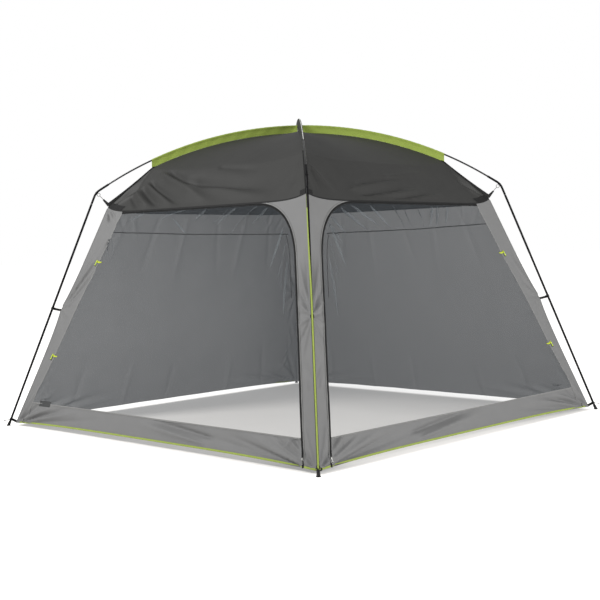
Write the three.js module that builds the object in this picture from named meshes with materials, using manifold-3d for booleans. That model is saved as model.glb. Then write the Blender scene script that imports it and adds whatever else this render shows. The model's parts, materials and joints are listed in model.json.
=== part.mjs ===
// Screen house: a square camping shelter with leaning walls under a low domed roof.
// Two crossed arch poles run corner to corner in sleeves and drop through bent elbows into
// straight legs. Two walls are see-through mesh doors with an arched zip, two are solid cloth.
// Millimetres, +Z up, origin on the ground at the centre of the footprint.
import * as THREE from "three";
import { mergeVertices } from "three/addons/utils/BufferGeometryUtils.js";
import Module from "manifold-3d";

const wasm = await Module();
wasm.setup();

// ---- Driving dimensions ----
const SIDE = 3050; // cloth footprint, ground corner to ground corner
const HEM_CORNER_Z = 20; // height of the cloth's ground corners
const HEM_RISE = 20; // how much higher the hem is in the middle of a side
const ROOF_HALF = 1006; // half the roof's width at its corners
const ROOF_CORNER_Z = 1614;
const EAVE_DIP = 44; // how far the eave hangs below the roof's corners
const EAVE_POWER = 10; // how sharply the eave turns up at its corners
const CLOTH = 3; // thickness of every cloth solid
const EDGE_GAP = 4; // from a corner seam to a wall's edge
const EAVE_GAP = 6; // from the eave line down to a wall's top edge

const LEG_FOOT_R = 2213; // distance of a foot from the centre
const ELBOW_R = 1510;
const ELBOW_Z = 1720;
const TUBE_R = 8; // leg and elbow tube
const TUBE_BORE = 7;
const ELBOW_BORE = 6.8;
const SPIGOT_R = 6.4; // swaged end that enters the next tube
const SPIGOT_BORE = 5.4;
const SPIGOT = 60;
const NECK = 4; // taper between a tube and its spigot
const ELBOW_UP = 112; // elbow limb towards the arch
const ELBOW_DOWN = 90; // elbow limb towards the leg
const ELBOW_BEND = 34; // length of each limb taken up by the bend
const LEG_SPLIT = 990; // foot to the joint between the lower and upper leg
const CLIP_Z = 870; // clip half way up the leg
const STRAP_Z = 50; // strap at the foot
const HOOK_CLEARANCE = 0.6; // snap-on hooks round the legs
const HOOK_WALL = 3;
const HOOK_HEIGHT = { clip: 18, foot: 16 };
const STRAP_GAP = { clip: 7, foot: 9 }; // end of each strap to the corner seam
const ROOF_STRAP_GAP = { out: 9, up: 6 }; // roof's corner to the end of its strap

const ARCH_R = 6; // arch pole
const ARCH_TANGENT = 120; // straight run from the arch's end to the elbow's corner
const ARCH_SOCKET = 72; // length of that run which is inside the elbow
const PEAK_LOW = 2180; // axis of the lower arch at the centre
const PEAK_HIGH = 2210; // axis of the upper arch, which crosses over it

const SLEEVE_R = 8.6;
const SLEEVE_BORE = 7.3;
const SLEEVE_START_R = { high: 22, low: 40 }; // sleeves start here, clear of the crossing
const SLEEVE_END_R = 1090; // sleeves stop here, short of the elbows
const FIN_LOW = 48; // flap below the lower arch, from its axis down to the roof
const FIN_HIGH = 62; // and below the upper arch
const FIN_T = 2.4;
const RIDGE_DROP = 52; // roof ridge below the lower arch's axis, square to it

const ZIP_INSET = 115; // corner seam to the zip
const ZIP_TURN_Z = 1200; // where the zip's arch starts
const ZIP_TOP_Z = 1558; // the zip's run under the eave
const ZIP_ARCH_END = 573; // where the arch meets that run
const ZIP_HALF = 5;
const ZIP_GAP = { panel: 1, door: 2 }; // zip's edge to the cloth beside it
const ZIP_STOP = 12; // zip's upper end to the hinge line
const HINGE_WIDTH_LOW = 85; // hinge-side panel at the hem
const HINGE_WIDTH_HIGH = 205; // and at the top of the door
const HINGE_GAP = 3; // hinge line to each panel beside it
const HINGE_TOP_Z = 1566; // where the hinge line meets the eave
const SKIRT_TOP_Z = 178;
const SEAM_HALF = 0.5; // half the gap between the screen and the skirt
const SLIDER_Z = 70; // zip slider with the door shut
const TOGGLE_Z = { upper: 1210, lower: 525 };
const TOGGLE_INSET = 18; // hinge line to each toggle's pivot
const TOGGLE_PROUD = 6; // toggle's axis above the cloth

const ROUND = 10; // sides of every round section

// ---- Materials ----
const cloth = (color) => new THREE.MeshStandardMaterial({ color, roughness: 0.85, side: THREE.DoubleSide });
const CHARCOAL = cloth(0x4a4948);
const GREY = cloth(0x9a9998);
const GREEN = cloth(0x91a34e);
const MESH = cloth(0x5f6466);
const STRAP = cloth(0x1b1b1c);
const STEEL = new THREE.MeshStandardMaterial({ color: 0x141415, roughness: 0.4, metalness: 0.6 });
const FIBRE = new THREE.MeshStandardMaterial({ color: 0x17181a, roughness: 0.45 });
const PLASTIC = new THREE.MeshStandardMaterial({ color: 0x101011, roughness: 0.5 });
const TOGGLE = new THREE.MeshStandardMaterial({ color: 0xa9bf3a, roughness: 0.6 });

const root = new THREE.Group();

function add(parent, name, geometry, material) {
  const mesh = new THREE.Mesh(geometry, material);
  mesh.name = name;
  parent.add(mesh);
  return mesh;
}

// ---- Solids ----
function toSolid(geometry) {
  const bare = geometry.index ? geometry : geometry.clone();
  for (const key of Object.keys(bare.attributes)) {
    if (key !== "position") bare.deleteAttribute(key);
  }
  const welded = mergeVertices(bare, 1e-3);
  const vertProperties = new Float32Array(welded.attributes.position.array);
  const triVerts = new Uint32Array(welded.index.array);
  return new wasm.Manifold(new wasm.Mesh({ numProp: 3, vertProperties, triVerts }));
}

function toGeometry(solid) {
  const mesh = solid.getMesh();
  const geometry = new THREE.BufferGeometry();
  geometry.setAttribute("position", new THREE.BufferAttribute(new Float32Array(mesh.vertProperties), 3));
  geometry.setIndex(new THREE.BufferAttribute(new Uint32Array(mesh.triVerts), 1));
  return geometry;
}

// Joins overlapping closed geometries into one body.
function join(...geometries) {
  return toGeometry(geometries.map(toSolid).reduce((whole, piece) => whole.add(piece)));
}

// A closed skin through rings of equal length, with a flat fan at each end.
function loft(rings) {
  const count = rings[0].length;
  const points = rings.flat();
  const index = [];
  for (let ring = 0; ring + 1 < rings.length; ring += 1) {
    for (let i = 0; i < count; i += 1) {
      const a = ring * count + i;
      const b = ring * count + ((i + 1) % count);
      index.push(a, b, b + count, a, b + count, a + count);
    }
  }
  const last = (rings.length - 1) * count;
  for (let i = 1; i + 1 < count; i += 1) {
    index.push(0, i + 1, i);
    index.push(last, last + i, last + i + 1);
  }
  const geometry = new THREE.BufferGeometry().setFromPoints(points);
  geometry.setIndex(index);
  return geometry;
}

function circleShape(radius, bore) {
  const shape = new THREE.Shape();
  shape.absarc(0, 0, radius, 0, 2 * Math.PI);
  if (bore) {
    const hole = new THREE.Path();
    hole.absarc(0, 0, bore, 0, 2 * Math.PI);
    shape.holes.push(hole);
  }
  return shape;
}

// A round bar, or a tube where bore is given, along a curve.
function along(curve, steps, radius, bore) {
  return new THREE.ExtrudeGeometry(circleShape(radius, bore), {
    steps,
    curveSegments: ROUND / 2,
    extrudePath: curve,
  });
}

// An outline of Vector2 points as a plate, centred on its own plane unless from is given.
function plate(points, thickness = CLOTH, from = -thickness / 2) {
  const geometry = new THREE.ExtrudeGeometry(new THREE.Shape(points), {
    depth: thickness,
    bevelEnabled: false,
  });
  return geometry.translate(0, 0, from);
}

// ---- Corner frame: local +X runs outwards along the diagonal, the poles lie in its XZ plane ----
const at = (r, z) => new THREE.Vector3(r, 0, z);
const ELBOW = at(ELBOW_R, ELBOW_Z);
const FOOT = at(LEG_FOOT_R, 0);
const LEG_DIR = FOOT.clone().sub(ELBOW).normalize();
const LEG_LENGTH = ELBOW.distanceTo(FOOT);
const LEG_TILT = Math.atan2(LEG_DIR.x, -LEG_DIR.z);
const FOOT_CAP_TOP = 34; // leg's lower end, measured up the leg from the ground
const onLeg = (distanceDown) => ELBOW.clone().addScaledVector(LEG_DIR, distanceDown);
const legPointAt = (z) => onLeg((ELBOW_Z - z) / -LEG_DIR.z);
const CORNERS = { front_right: -45, back_right: 45, back_left: 135, front_left: 225 };
const isHigh = (corner) => corner === "front_right" || corner === "back_left";

// The arch is a circle that ends tangent to a straight run into the elbow's corner.
function archOf(peak) {
  const angle = 2 * Math.atan((peak - ELBOW_Z) / (ELBOW_R + ARCH_TANGENT));
  const radius = (ELBOW_R - ARCH_TANGENT * Math.cos(angle)) / Math.sin(angle);
  const point = (theta) => at(radius * Math.sin(theta), peak - radius * (1 - Math.cos(theta)));
  const heightAt = (r) => point(Math.asin(r / radius)).z;
  return { angle, radius, point, heightAt, inward: at(-Math.cos(angle), Math.sin(angle)) };
}
const LOW_ARCH = archOf(PEAK_LOW);
const HIGH_ARCH = archOf(PEAK_HIGH);

class ArcCurve extends THREE.Curve {
  constructor(arch, from, to) {
    super();
    Object.assign(this, { arch, from, to });
  }

  getPoint(t, target = new THREE.Vector3()) {
    return target.copy(this.arch.point(this.from + (this.to - this.from) * t));
  }
}

function archPole(arch) {
  const path = new THREE.CurvePath();
  const start = 0.5 / arch.radius;
  path.add(new ArcCurve(arch, start, arch.angle));
  const bend = arch.point(arch.angle);
  path.add(new THREE.LineCurve3(bend, bend.clone().addScaledVector(arch.inward, -ARCH_SOCKET)));
  return along(path, 11, ARCH_R);
}

function elbowTube(arch) {
  const path = new THREE.CurvePath();
  const upper = ELBOW.clone().addScaledVector(arch.inward, ELBOW_BEND);
  const lower = onLeg(ELBOW_BEND);
  path.add(new THREE.LineCurve3(ELBOW.clone().addScaledVector(arch.inward, ELBOW_UP), upper));
  path.add(new THREE.QuadraticBezierCurve3(upper, ELBOW, lower));
  path.add(new THREE.LineCurve3(lower, onLeg(ELBOW_DOWN)));
  return along(path, 8, TUBE_R, ELBOW_BORE);
}

// A leg tube standing on its origin along +Y, with a narrower spigot on its upper end.
function legTube(length) {
  const profile = [
    [TUBE_BORE, 0],
    [TUBE_R, 0],
    [TUBE_R, length],
    [SPIGOT_R, length + NECK],
    [SPIGOT_R, length + SPIGOT],
    [SPIGOT_BORE, length + SPIGOT],
    [SPIGOT_BORE, length + NECK],
    [TUBE_BORE, length - NECK],
    [TUBE_BORE, 0],
  ];
  return new THREE.LatheGeometry(profile.map(([x, y]) => new THREE.Vector2(x, y)), ROUND);
}

// Turns something built along +Y so that it runs up the leg from the given point.
function upLeg(geometry, point) {
  return geometry.rotateX(Math.PI / 2).rotateY(-LEG_TILT).translate(point.x, 0, point.z);
}

function ringAround(center, radius, tilt) {
  const ring = [];
  for (let i = 0; i < ROUND; i += 1) {
    const angle = (2 * Math.PI * i) / ROUND;
    const p = new THREE.Vector3(radius * Math.cos(angle), radius * Math.sin(angle), 0);
    p.applyAxisAngle(new THREE.Vector3(0, 1, 0), -tilt);
    ring.push(p.add(center));
  }
  return ring;
}

// Moulded foot: level on the ground, then turning onto the leg's axis, with a plug for its bore.
function footCap() {
  const shoulder = onLeg(LEG_LENGTH - FOOT_CAP_TOP + 1);
  const plug = onLeg(LEG_LENGTH - FOOT_CAP_TOP - 28);
  return loft([
    ringAround(at(LEG_FOOT_R, 0), 15, 0),
    ringAround(at(LEG_FOOT_R, 5), 15, 0),
    ringAround(at(LEG_FOOT_R - 3, 12), 11, LEG_TILT / 2),
    ringAround(shoulder, 11, LEG_TILT),
    ringAround(shoulder, SPIGOT_R, LEG_TILT),
    ringAround(plug, SPIGOT_R, LEG_TILT),
  ]);
}

// A snap-on hook round a leg with a strap towards the shelter: x is outwards, height up the leg.
function hook(strapEnd, height) {
  const bore = TUBE_R + HOOK_CLEARANCE;
  const mouth = 0.75; // half angle of the open side
  const arm = 1.6; // half thickness of the strap
  const outer = bore + HOOK_WALL;
  const reach = Math.asin(arm / outer);
  const shape = new THREE.Shape();
  shape.absarc(0, 0, outer, mouth, Math.PI - reach, false);
  shape.lineTo(-strapEnd, arm);
  shape.lineTo(-strapEnd, -arm);
  shape.absarc(0, 0, outer, Math.PI + reach, -mouth, false);
  shape.absarc(0, 0, bore, -mouth, mouth, true);
  const geometry = new THREE.ExtrudeGeometry(shape, {
    depth: height,
    bevelEnabled: false,
    curveSegments: 4,
  });
  return geometry.translate(0, 0, -height / 2).rotateY(-LEG_TILT);
}

const seamRadiusAt = (z) => halfAt(z) * Math.SQRT2;

function legClip() {
  const center = legPointAt(CLIP_Z);
  const strapEnd = (center.x - seamRadiusAt(CLIP_Z)) / Math.cos(LEG_TILT) - STRAP_GAP.clip;
  return hook(strapEnd, HOOK_HEIGHT.clip).translate(center.x, 0, center.z);
}

// Hook and strap at the foot, with a loop for a stake on the outer side.
function footStrap() {
  const center = legPointAt(STRAP_Z);
  const strapEnd = (center.x - seamRadiusAt(STRAP_Z)) / Math.cos(LEG_TILT) - STRAP_GAP.foot;
  const clip = hook(strapEnd, HOOK_HEIGHT.foot).translate(center.x, 0, center.z);
  const loop = new THREE.TorusGeometry(17, 1.8, 5, 12);
  loop.scale(1.4, 0.7, 1);
  loop.rotateY(0.55);
  loop.translate(center.x + 28, 12.4, center.z - 16);
  return join(clip, loop);
}

// Wire ring round the elbow's bend, with a strap down to the roof's corner.
function roofHook(arch) {
  const bend = new THREE.Vector3();
  bend.addScaledVector(ELBOW, 0.5);
  bend.addScaledVector(ELBOW.clone().addScaledVector(arch.inward, ELBOW_BEND), 0.25);
  bend.addScaledVector(onLeg(ELBOW_BEND), 0.25);
  const tangent = LEG_DIR.clone().sub(arch.inward).normalize();
  const ring = new THREE.TorusGeometry(11.5, 1.5, 5, 12);
  ring.rotateY(Math.atan2(tangent.x, tangent.z)).translate(bend.x, 0, bend.z);
  const inside = new THREE.Vector3(tangent.z, 0, -tangent.x);
  const start = bend.clone().addScaledVector(inside, 10.5);
  const end = at(ROOF_HALF * Math.SQRT2 + ROOF_STRAP_GAP.out, ROOF_CORNER_Z + ROOF_STRAP_GAP.up);
  const run = end.clone().sub(start);
  const strap = new THREE.BoxGeometry(run.length(), 2.4, 14);
  strap.rotateY(-Math.atan2(run.z, run.x));
  strap.translate((start.x + end.x) / 2, 0, (start.z + end.z) / 2);
  return join(ring, strap);
}

// Keyhole section: a ring round the pole with a flat flap below it.
function sleeve(arch, fin, innerEnd) {
  const half = FIN_T / 2;
  const neck = Math.asin(half / SLEEVE_R);
  const shape = new THREE.Shape();
  shape.absarc(0, 0, SLEEVE_R, Math.PI / 2 + neck, Math.PI / 2 - neck + 2 * Math.PI, false);
  shape.lineTo(half, fin);
  shape.lineTo(-half, fin);
  const hole = new THREE.Path();
  hole.absarc(0, 0, SLEEVE_BORE, 0, 2 * Math.PI);
  shape.holes.push(hole);
  const path = new ArcCurve(arch, Math.asin(innerEnd / arch.radius), Math.asin(SLEEVE_END_R / arch.radius));
  return new THREE.ExtrudeGeometry(shape, { steps: 8, curveSegments: 4, extrudePath: path });
}

for (const [corner, degrees] of Object.entries(CORNERS)) {
  const group = new THREE.Group();
  group.rotation.z = THREE.MathUtils.degToRad(degrees);
  root.add(group);
  const arch = isHigh(corner) ? HIGH_ARCH : LOW_ARCH;
  const upperLength = LEG_LENGTH - LEG_SPLIT - ELBOW_DOWN - NECK - 1;
  const lowerLength = LEG_SPLIT - FOOT_CAP_TOP - NECK - 1;
  add(group, `arch_pole_${corner}`, archPole(arch), FIBRE);
  add(group, `elbow_${corner}`, elbowTube(arch), STEEL);
  add(group, `leg_upper_${corner}`, upLeg(legTube(upperLength), onLeg(LEG_LENGTH - LEG_SPLIT)), STEEL);
  add(group, `leg_lower_${corner}`, upLeg(legTube(lowerLength), onLeg(LEG_LENGTH - FOOT_CAP_TOP)), STEEL);
  add(group, `foot_cap_${corner}`, footCap(), PLASTIC);
  add(group, `leg_clip_${corner}`, legClip(), PLASTIC);
  add(group, `roof_hook_${corner}`, roofHook(arch), STRAP);
  add(group, `foot_strap_${corner}`, footStrap(), STRAP);
  if (isHigh(corner)) {
    add(group, `sleeve_${corner}`, sleeve(arch, FIN_HIGH, SLEEVE_START_R.high), CHARCOAL);
  } else {
    add(group, `sleeve_${corner}`, sleeve(arch, FIN_LOW, SLEEVE_START_R.low), GREEN);
  }
}

// ---- Wall plane: u along the wall, z the height, side +1 or -1 to mirror it ----
const LEAN = Math.atan((SIDE / 2 - ROOF_HALF) / (ROOF_CORNER_Z - HEM_CORNER_Z));
function halfAt(z) {
  return SIDE / 2 - ((SIDE / 2 - ROOF_HALF) * (z - HEM_CORNER_Z)) / (ROOF_CORNER_Z - HEM_CORNER_Z);
}
const slant = (z) => z / Math.cos(LEAN);
const inPlane = (u, z) => new THREE.Vector2(u, slant(z));
const heightOf = (point) => point.y * Math.cos(LEAN);
const mirrored = (points, side) => points.map((p) => new THREE.Vector2(side * p.x, p.y));

function eaveZ(u) {
  const share = Math.min(1, Math.abs(u) / ROOF_HALF);
  return ROOF_CORNER_Z - EAVE_DIP * (1 - share ** EAVE_POWER);
}

function hemZ(u) {
  const share = Math.min(1, (2 * Math.abs(u)) / SIDE);
  return HEM_CORNER_Z + HEM_RISE * (1 - share ** 4);
}

// Evenly spread values from a to b, both ends included.
function spread(a, b, count) {
  return Array.from({ length: count }, (_, i) => a + ((b - a) * i) / (count - 1));
}

function alongHem(from, to, count) {
  return spread(from, to, count).map((u) => inPlane(u, hemZ(u)));
}

function alongEave(from, to, count) {
  return spread(from, to, count).map((u) => inPlane(u, eaveZ(u) - EAVE_GAP));
}

const TOP_EDGE = halfAt(ROOF_CORNER_Z) - EDGE_GAP;
const LOW_EDGE = halfAt(HEM_CORNER_Z) - EDGE_GAP;
const hingeU = (z) => -(halfAt(z) - (HINGE_WIDTH_LOW +
  ((HINGE_WIDTH_HIGH - HINGE_WIDTH_LOW) * (z - HEM_CORNER_Z)) / (ZIP_TOP_Z - HEM_CORNER_Z)));

const hingeRise = inPlane(hingeU(ZIP_TOP_Z), ZIP_TOP_Z).sub(inPlane(hingeU(HEM_CORNER_Z), HEM_CORNER_Z));
const hingeTilt = Math.atan2(hingeRise.x, hingeRise.y); // the hinge line's lean within the wall

// The zip's centre line: up beside the corner seam, over an arch, then along under the eave.
function zipLine() {
  const turn = inPlane(halfAt(ZIP_TURN_Z) - ZIP_INSET, ZIP_TURN_Z);
  const corner = inPlane(halfAt(ZIP_TOP_Z) - ZIP_INSET, ZIP_TOP_Z);
  const arch = new THREE.QuadraticBezierCurve(turn, corner, inPlane(ZIP_ARCH_END, ZIP_TOP_Z));
  const start = inPlane(halfAt(HEM_CORNER_Z) - ZIP_INSET, HEM_CORNER_Z + 4);
  return [start, ...arch.getPoints(12), inPlane(hingeU(ZIP_TOP_Z) + ZIP_STOP, ZIP_TOP_Z)];
}

// A line moved sideways, to its right where distance is positive.
function offset(points, distance) {
  return points.map((point, i) => {
    const before = points[Math.max(0, i - 1)];
    const after = points[Math.min(points.length - 1, i + 1)];
    const run = after.clone().sub(before).normalize();
    return new THREE.Vector2(point.x + run.y * distance, point.y - run.x * distance);
  });
}

function archPanel() {
  const point = 10; // the panel runs out to a point this far beyond the zip's last corner
  const inner = offset(zipLine(), ZIP_HALF + ZIP_GAP.panel).slice(0, -1);
  const kept = inner.filter((p) => heightOf(p) < eaveZ(p.x) - EAVE_GAP - 2);
  const top = alongEave(kept.at(-1).x - point, TOP_EDGE, 7);
  return [inPlane(LOW_EDGE, HEM_CORNER_Z), ...top.reverse(), ...kept.reverse()];
}

function hingePanel() {
  const top = alongEave(-TOP_EDGE, hingeU(HINGE_TOP_Z) - HINGE_GAP, 5);
  const low = hingeU(hemZ(hingeU(HEM_CORNER_Z))) - HINGE_GAP;
  return [inPlane(-LOW_EDGE, HEM_CORNER_Z), ...top, inPlane(low, hemZ(low))];
}

// The leaf's edge beside the straight part of the zip, which leans, so the gap is a little wider along u.
const leafEdgeU = (z) => halfAt(z) - ZIP_INSET - (ZIP_HALF + ZIP_GAP.door) * 1.05;

// The door leaf is two pieces, above and below the seam: one follows the zip, the other the hem.
function doorSkirt() {
  const edge = offset(zipLine(), -ZIP_HALF - ZIP_GAP.door);
  const top = SKIRT_TOP_Z - SEAM_HALF;
  const left = hingeU(HEM_CORNER_Z) + HINGE_GAP;
  return [
    ...alongHem(left, edge[0].x, 9),
    inPlane(leafEdgeU(top), top),
    inPlane(hingeU(top) + HINGE_GAP, top),
  ];
}

function doorMesh() {
  const edge = offset(zipLine(), -ZIP_HALF - ZIP_GAP.door).slice(1);
  const low = SKIRT_TOP_Z + SEAM_HALF;
  const top = heightOf(edge.at(-1));
  edge[edge.length - 1] = inPlane(hingeU(top) + HINGE_GAP, top);
  return [inPlane(hingeU(low) + HINGE_GAP, low), inPlane(leafEdgeU(low), low), ...edge];
}

function zipTrack() {
  const line = zipLine();
  return [...offset(line, ZIP_HALF), ...offset(line, -ZIP_HALF).reverse()];
}

function solidWall() {
  return [
    ...alongHem(-LOW_EDGE, LOW_EDGE, 11),
    ...spread(Math.PI / 2, -Math.PI / 2, 13).map((a) => {
      const u = TOP_EDGE * Math.sin(a);
      return inPlane(u, eaveZ(u) - EAVE_GAP);
    }),
  ];
}

// Slider body with its pull tab hanging below it.
function zipSlider(side) {
  const lean = Math.atan((SIDE / 2 - ROOF_HALF) / slant(ROOF_CORNER_Z - HEM_CORNER_Z));
  const outline = (corners) => corners.map(([x, y]) => new THREE.Vector2(x, y));
  const body = plate(outline([[-4.5, -9], [4.5, -9], [3.5, 9], [-3.5, 9]]), 6, 2);
  const tab = plate(outline([[-3, -34], [3, -34], [3, -6], [-3, -6]]), 2, 5);
  const start = inPlane(halfAt(SLIDER_Z) - ZIP_INSET, SLIDER_Z);
  return join(body, tab).rotateZ(side * lean).translate(side * start.x, start.y, 0);
}

// Toggle bar hanging from its pivot at the origin, clear of the cloth behind it.
function toggle() {
  const profile = [[0, -40], [3.4, -39], [4.6, -35], [3.2, -20], [4.6, -5], [3.4, 3], [0, 4]];
  const bar = new THREE.LatheGeometry(profile.map(([x, y]) => new THREE.Vector2(x, y)), 8);
  return bar.translate(0, 0, CLOTH / 2 + TOGGLE_PROUD);
}

function wallGroup(degrees) {
  const turn = new THREE.Group();
  turn.rotation.z = THREE.MathUtils.degToRad(degrees);
  const plane = new THREE.Group();
  plane.position.y = -halfAt(0);
  plane.rotation.x = Math.PI / 2 - LEAN;
  turn.add(plane);
  root.add(turn);
  return plane;
}

function doorWall(name, degrees, side) {
  const group = wallGroup(degrees);
  const panel = (points) => plate(mirrored(points, side));
  add(group, `${name}_arch_panel`, panel(archPanel()), GREY);
  add(group, `${name}_hinge_panel`, panel(hingePanel()), GREY);
  add(group, `${name}_door_mesh`, panel(doorMesh()), MESH);
  add(group, `${name}_door_skirt`, panel(doorSkirt()), GREY);
  add(group, `${name}_zip_track`, panel(zipTrack()), PLASTIC);
  add(group, `${name}_zip_slider`, zipSlider(side), PLASTIC);
  for (const [place, z] of Object.entries(TOGGLE_Z)) {
    const bar = add(group, `${name}_toggle_${place}`, toggle(), TOGGLE);
    bar.position.set(side * (hingeU(z) - TOGGLE_INSET), slant(z), 0);
    bar.rotation.z = -side * hingeTilt;
  }
  return group;
}

const frontWall = doorWall("front", 0, 1);
doorWall("right", 90, -1);
add(wallGroup(180), "back_wall", plate(solidWall()), GREY);
add(wallGroup(270), "left_wall", plate(solidWall()), GREY);

const LABEL = { u: -1221, z: 180, width: 150, height: 42 };
const label = new THREE.BoxGeometry(LABEL.width, LABEL.height, 1.2);
label.translate(LABEL.u, slant(LABEL.z), CLOTH / 2 + 1);
add(frontWall, "label_patch", label, PLASTIC);

// ---- Roof gores ----
function underArch(r) {
  const slope = Math.asin(r / LOW_ARCH.radius);
  return LOW_ARCH.heightAt(r) - RIDGE_DROP / Math.cos(slope);
}

// The ridge follows the arch as far as the sleeve, then runs straight to the roof's corner.
function ridgeZ(r) {
  if (r <= SLEEVE_END_R) return underArch(r);
  const share = (r - SLEEVE_END_R) / (ROOF_HALF * Math.SQRT2 - SLEEVE_END_R);
  return THREE.MathUtils.lerp(underArch(SLEEVE_END_R), ROOF_CORNER_Z, share);
}

// One side of the roof: rows run level from ridge to ridge and sag a little in the middle.
function gore() {
  const radii = [10, 200, 430, 660, 880, SLEEVE_END_R, 1200, 1310, ROOF_HALF * Math.SQRT2];
  const columns = 9;
  const seamGap = 1;
  const outer = [];
  for (const r of radii) {
    const share = r / (ROOF_HALF * Math.SQRT2);
    const power = 2 + (EAVE_POWER - 2) * share ** 6;
    for (let j = 0; j < columns; j += 1) {
      const s = Math.sin((Math.PI / 2) * ((2 * j) / (columns - 1) - 1));
      const dip = EAVE_DIP * Math.min(1, share * 1.25) * (1 - Math.abs(s) ** power);
      const out = Math.tan(LEAN) * dip * share ** 8;
      outer.push(new THREE.Vector3(s * (r / Math.SQRT2 - seamGap), -r / Math.SQRT2 - out, ridgeZ(r) - dip));
    }
  }
  return shell(outer, columns, -CLOTH - 1);
}

// A grid of points thickened straight down into one closed body.
function shell(points, columns, drop) {
  const rows = points.length / columns;
  const below = points.map((p) => new THREE.Vector3(p.x, p.y, p.z + drop));
  const under = points.length;
  const index = [];
  const quad = (a, b, c, d) => index.push(a, b, c, a, c, d);
  for (let i = 0; i + 1 < rows; i += 1) {
    for (let j = 0; j + 1 < columns; j += 1) {
      const a = i * columns + j;
      quad(a, a + columns, a + columns + 1, a + 1);
      quad(under + a, under + a + 1, under + a + columns + 1, under + a + columns);
    }
    const left = i * columns;
    const right = left + columns - 1;
    quad(left, under + left, under + left + columns, left + columns);
    quad(right, right + columns, under + right + columns, under + right);
  }
  for (let j = 0; j + 1 < columns; j += 1) {
    const last = (rows - 1) * columns + j;
    quad(j, j + 1, under + j + 1, under + j);
    quad(last, under + last, under + last + 1, last + 1);
  }
  const geometry = new THREE.BufferGeometry().setFromPoints([...points, ...below]);
  geometry.setIndex(index);
  return geometry;
}

for (const [name, degrees] of [["front", 0], ["right", 90], ["back", 180], ["left", 270]]) {
  const group = new THREE.Group();
  group.rotation.z = THREE.MathUtils.degToRad(degrees);
  root.add(group);
  add(group, `roof_${name}`, gore(), CHARCOAL);
}

export default root;
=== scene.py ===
"""Looks of the screen house: cloth, mesh, zips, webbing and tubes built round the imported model."""
import json
import math

import bpy
import numpy as np
from mathutils import Matrix, Vector
from mathutils.geometry import delaunay_2d_cdt


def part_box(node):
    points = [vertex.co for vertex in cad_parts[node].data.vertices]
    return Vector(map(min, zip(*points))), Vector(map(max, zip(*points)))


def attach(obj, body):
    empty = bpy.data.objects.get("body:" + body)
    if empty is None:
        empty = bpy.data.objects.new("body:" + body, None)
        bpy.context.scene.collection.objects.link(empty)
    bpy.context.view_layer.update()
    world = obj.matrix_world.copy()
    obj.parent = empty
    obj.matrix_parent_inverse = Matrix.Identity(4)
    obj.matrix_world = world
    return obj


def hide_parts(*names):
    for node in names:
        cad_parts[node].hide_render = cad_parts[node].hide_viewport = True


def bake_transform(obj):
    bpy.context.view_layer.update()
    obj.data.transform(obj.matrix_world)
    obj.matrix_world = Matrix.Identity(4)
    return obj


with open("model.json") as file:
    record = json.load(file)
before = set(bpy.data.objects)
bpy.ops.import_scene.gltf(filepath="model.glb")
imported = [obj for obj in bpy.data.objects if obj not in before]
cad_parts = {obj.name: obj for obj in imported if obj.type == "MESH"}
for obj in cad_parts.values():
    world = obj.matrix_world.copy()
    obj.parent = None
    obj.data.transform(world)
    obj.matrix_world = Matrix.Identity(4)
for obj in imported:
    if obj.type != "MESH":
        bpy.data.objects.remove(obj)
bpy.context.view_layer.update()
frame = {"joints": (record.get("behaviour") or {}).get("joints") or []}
scene = bpy.context.scene

# ---------------------------------------------------------------- sizes, in metres
EDGE_GAP = 0.004  # corner seam to the edge of a wall's solid
EAVE_GAP = 0.006  # eave line to the top of a wall's solid
wall_low, wall_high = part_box("back_wall")
HEM_Z = wall_low.z
HEM_HALF = wall_high.x + EDGE_GAP  # half the cloth's footprint
EAVE_Z = wall_high.z + EAVE_GAP  # height of the roof's corners
ROOF_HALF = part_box("roof_front")[1].x + 0.001
ROOF_R = ROOF_HALF * math.sqrt(2)
HEM_RISE = 0.020  # how much higher the hem is at the middle of a wall
EAVE_DIP = 0.044  # how much lower the eave is between the corners
EAVE_POWER = 10
LEAN = math.atan((HEM_HALF - ROOF_HALF) / (EAVE_Z - HEM_Z))

TUBE_R = 0.008
ARCH_R = 0.006
SLEEVE_R = 0.0073
SLEEVE_END_R = 1.090  # distance from the centre where a sleeve ends
GLINT_R = 0.0018  # radius of the pale line along the crest of the dark sleeves: a painted highlight where light catches the sleeve over its pole
ELBOW_R, ELBOW_Z = 1.510, 1.720
FOOT_R = 2.213
ARCH_TANGENT = 0.120
LOW_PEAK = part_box("arch_pole_front_left")[1].z - ARCH_R
HIGH_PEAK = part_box("arch_pole_front_right")[1].z - ARCH_R
RIDGE_DROP = 0.052  # from the low arch's axis down to the roof's ridge

ZIP_INSET = 0.115
ZIP_TURN_Z = 1.200
ZIP_TOP_Z = 1.558
ZIP_ARCH_END = 0.573
HINGE_LOW, HINGE_HIGH = 0.085, 0.205
SKIRT_TOP_Z = 0.178
SEAM_Z_ZIP, SEAM_Z_HINGE = 1.357, 1.420
CLIP_Z = 0.870
CLIP_PULL = 0.027  # how far the clip half way up draws the corner seam out
HEM_WIDTH = 0.012
HEM_LINE = 0.0063  # centre of the hem tape above the cloth's lower edge
HEM_THICK = 0.0018
HEM_OUT = 0.0016
HEM_STITCH = 0.0042  # the hem's stitches above its centre
CORNER_PEAK = 0.022  # how far the bound ridge stands up at a roof corner
FOLD_DEPTH = 2.0  # multiplies the depths in the fold tables
SPACING = 0.013  # mesh spacing of the screens
FINE = 0.009  # mesh spacing of the narrow panels
COARSE = 0.017  # mesh spacing of the solid walls
EDGE = 0.0015  # cloth stops this far from a corner seam's line
TAPE_OUT = 0.0012
LEAF_EDGE = 0.004  # zip's centre line to the cloth on either side

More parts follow.
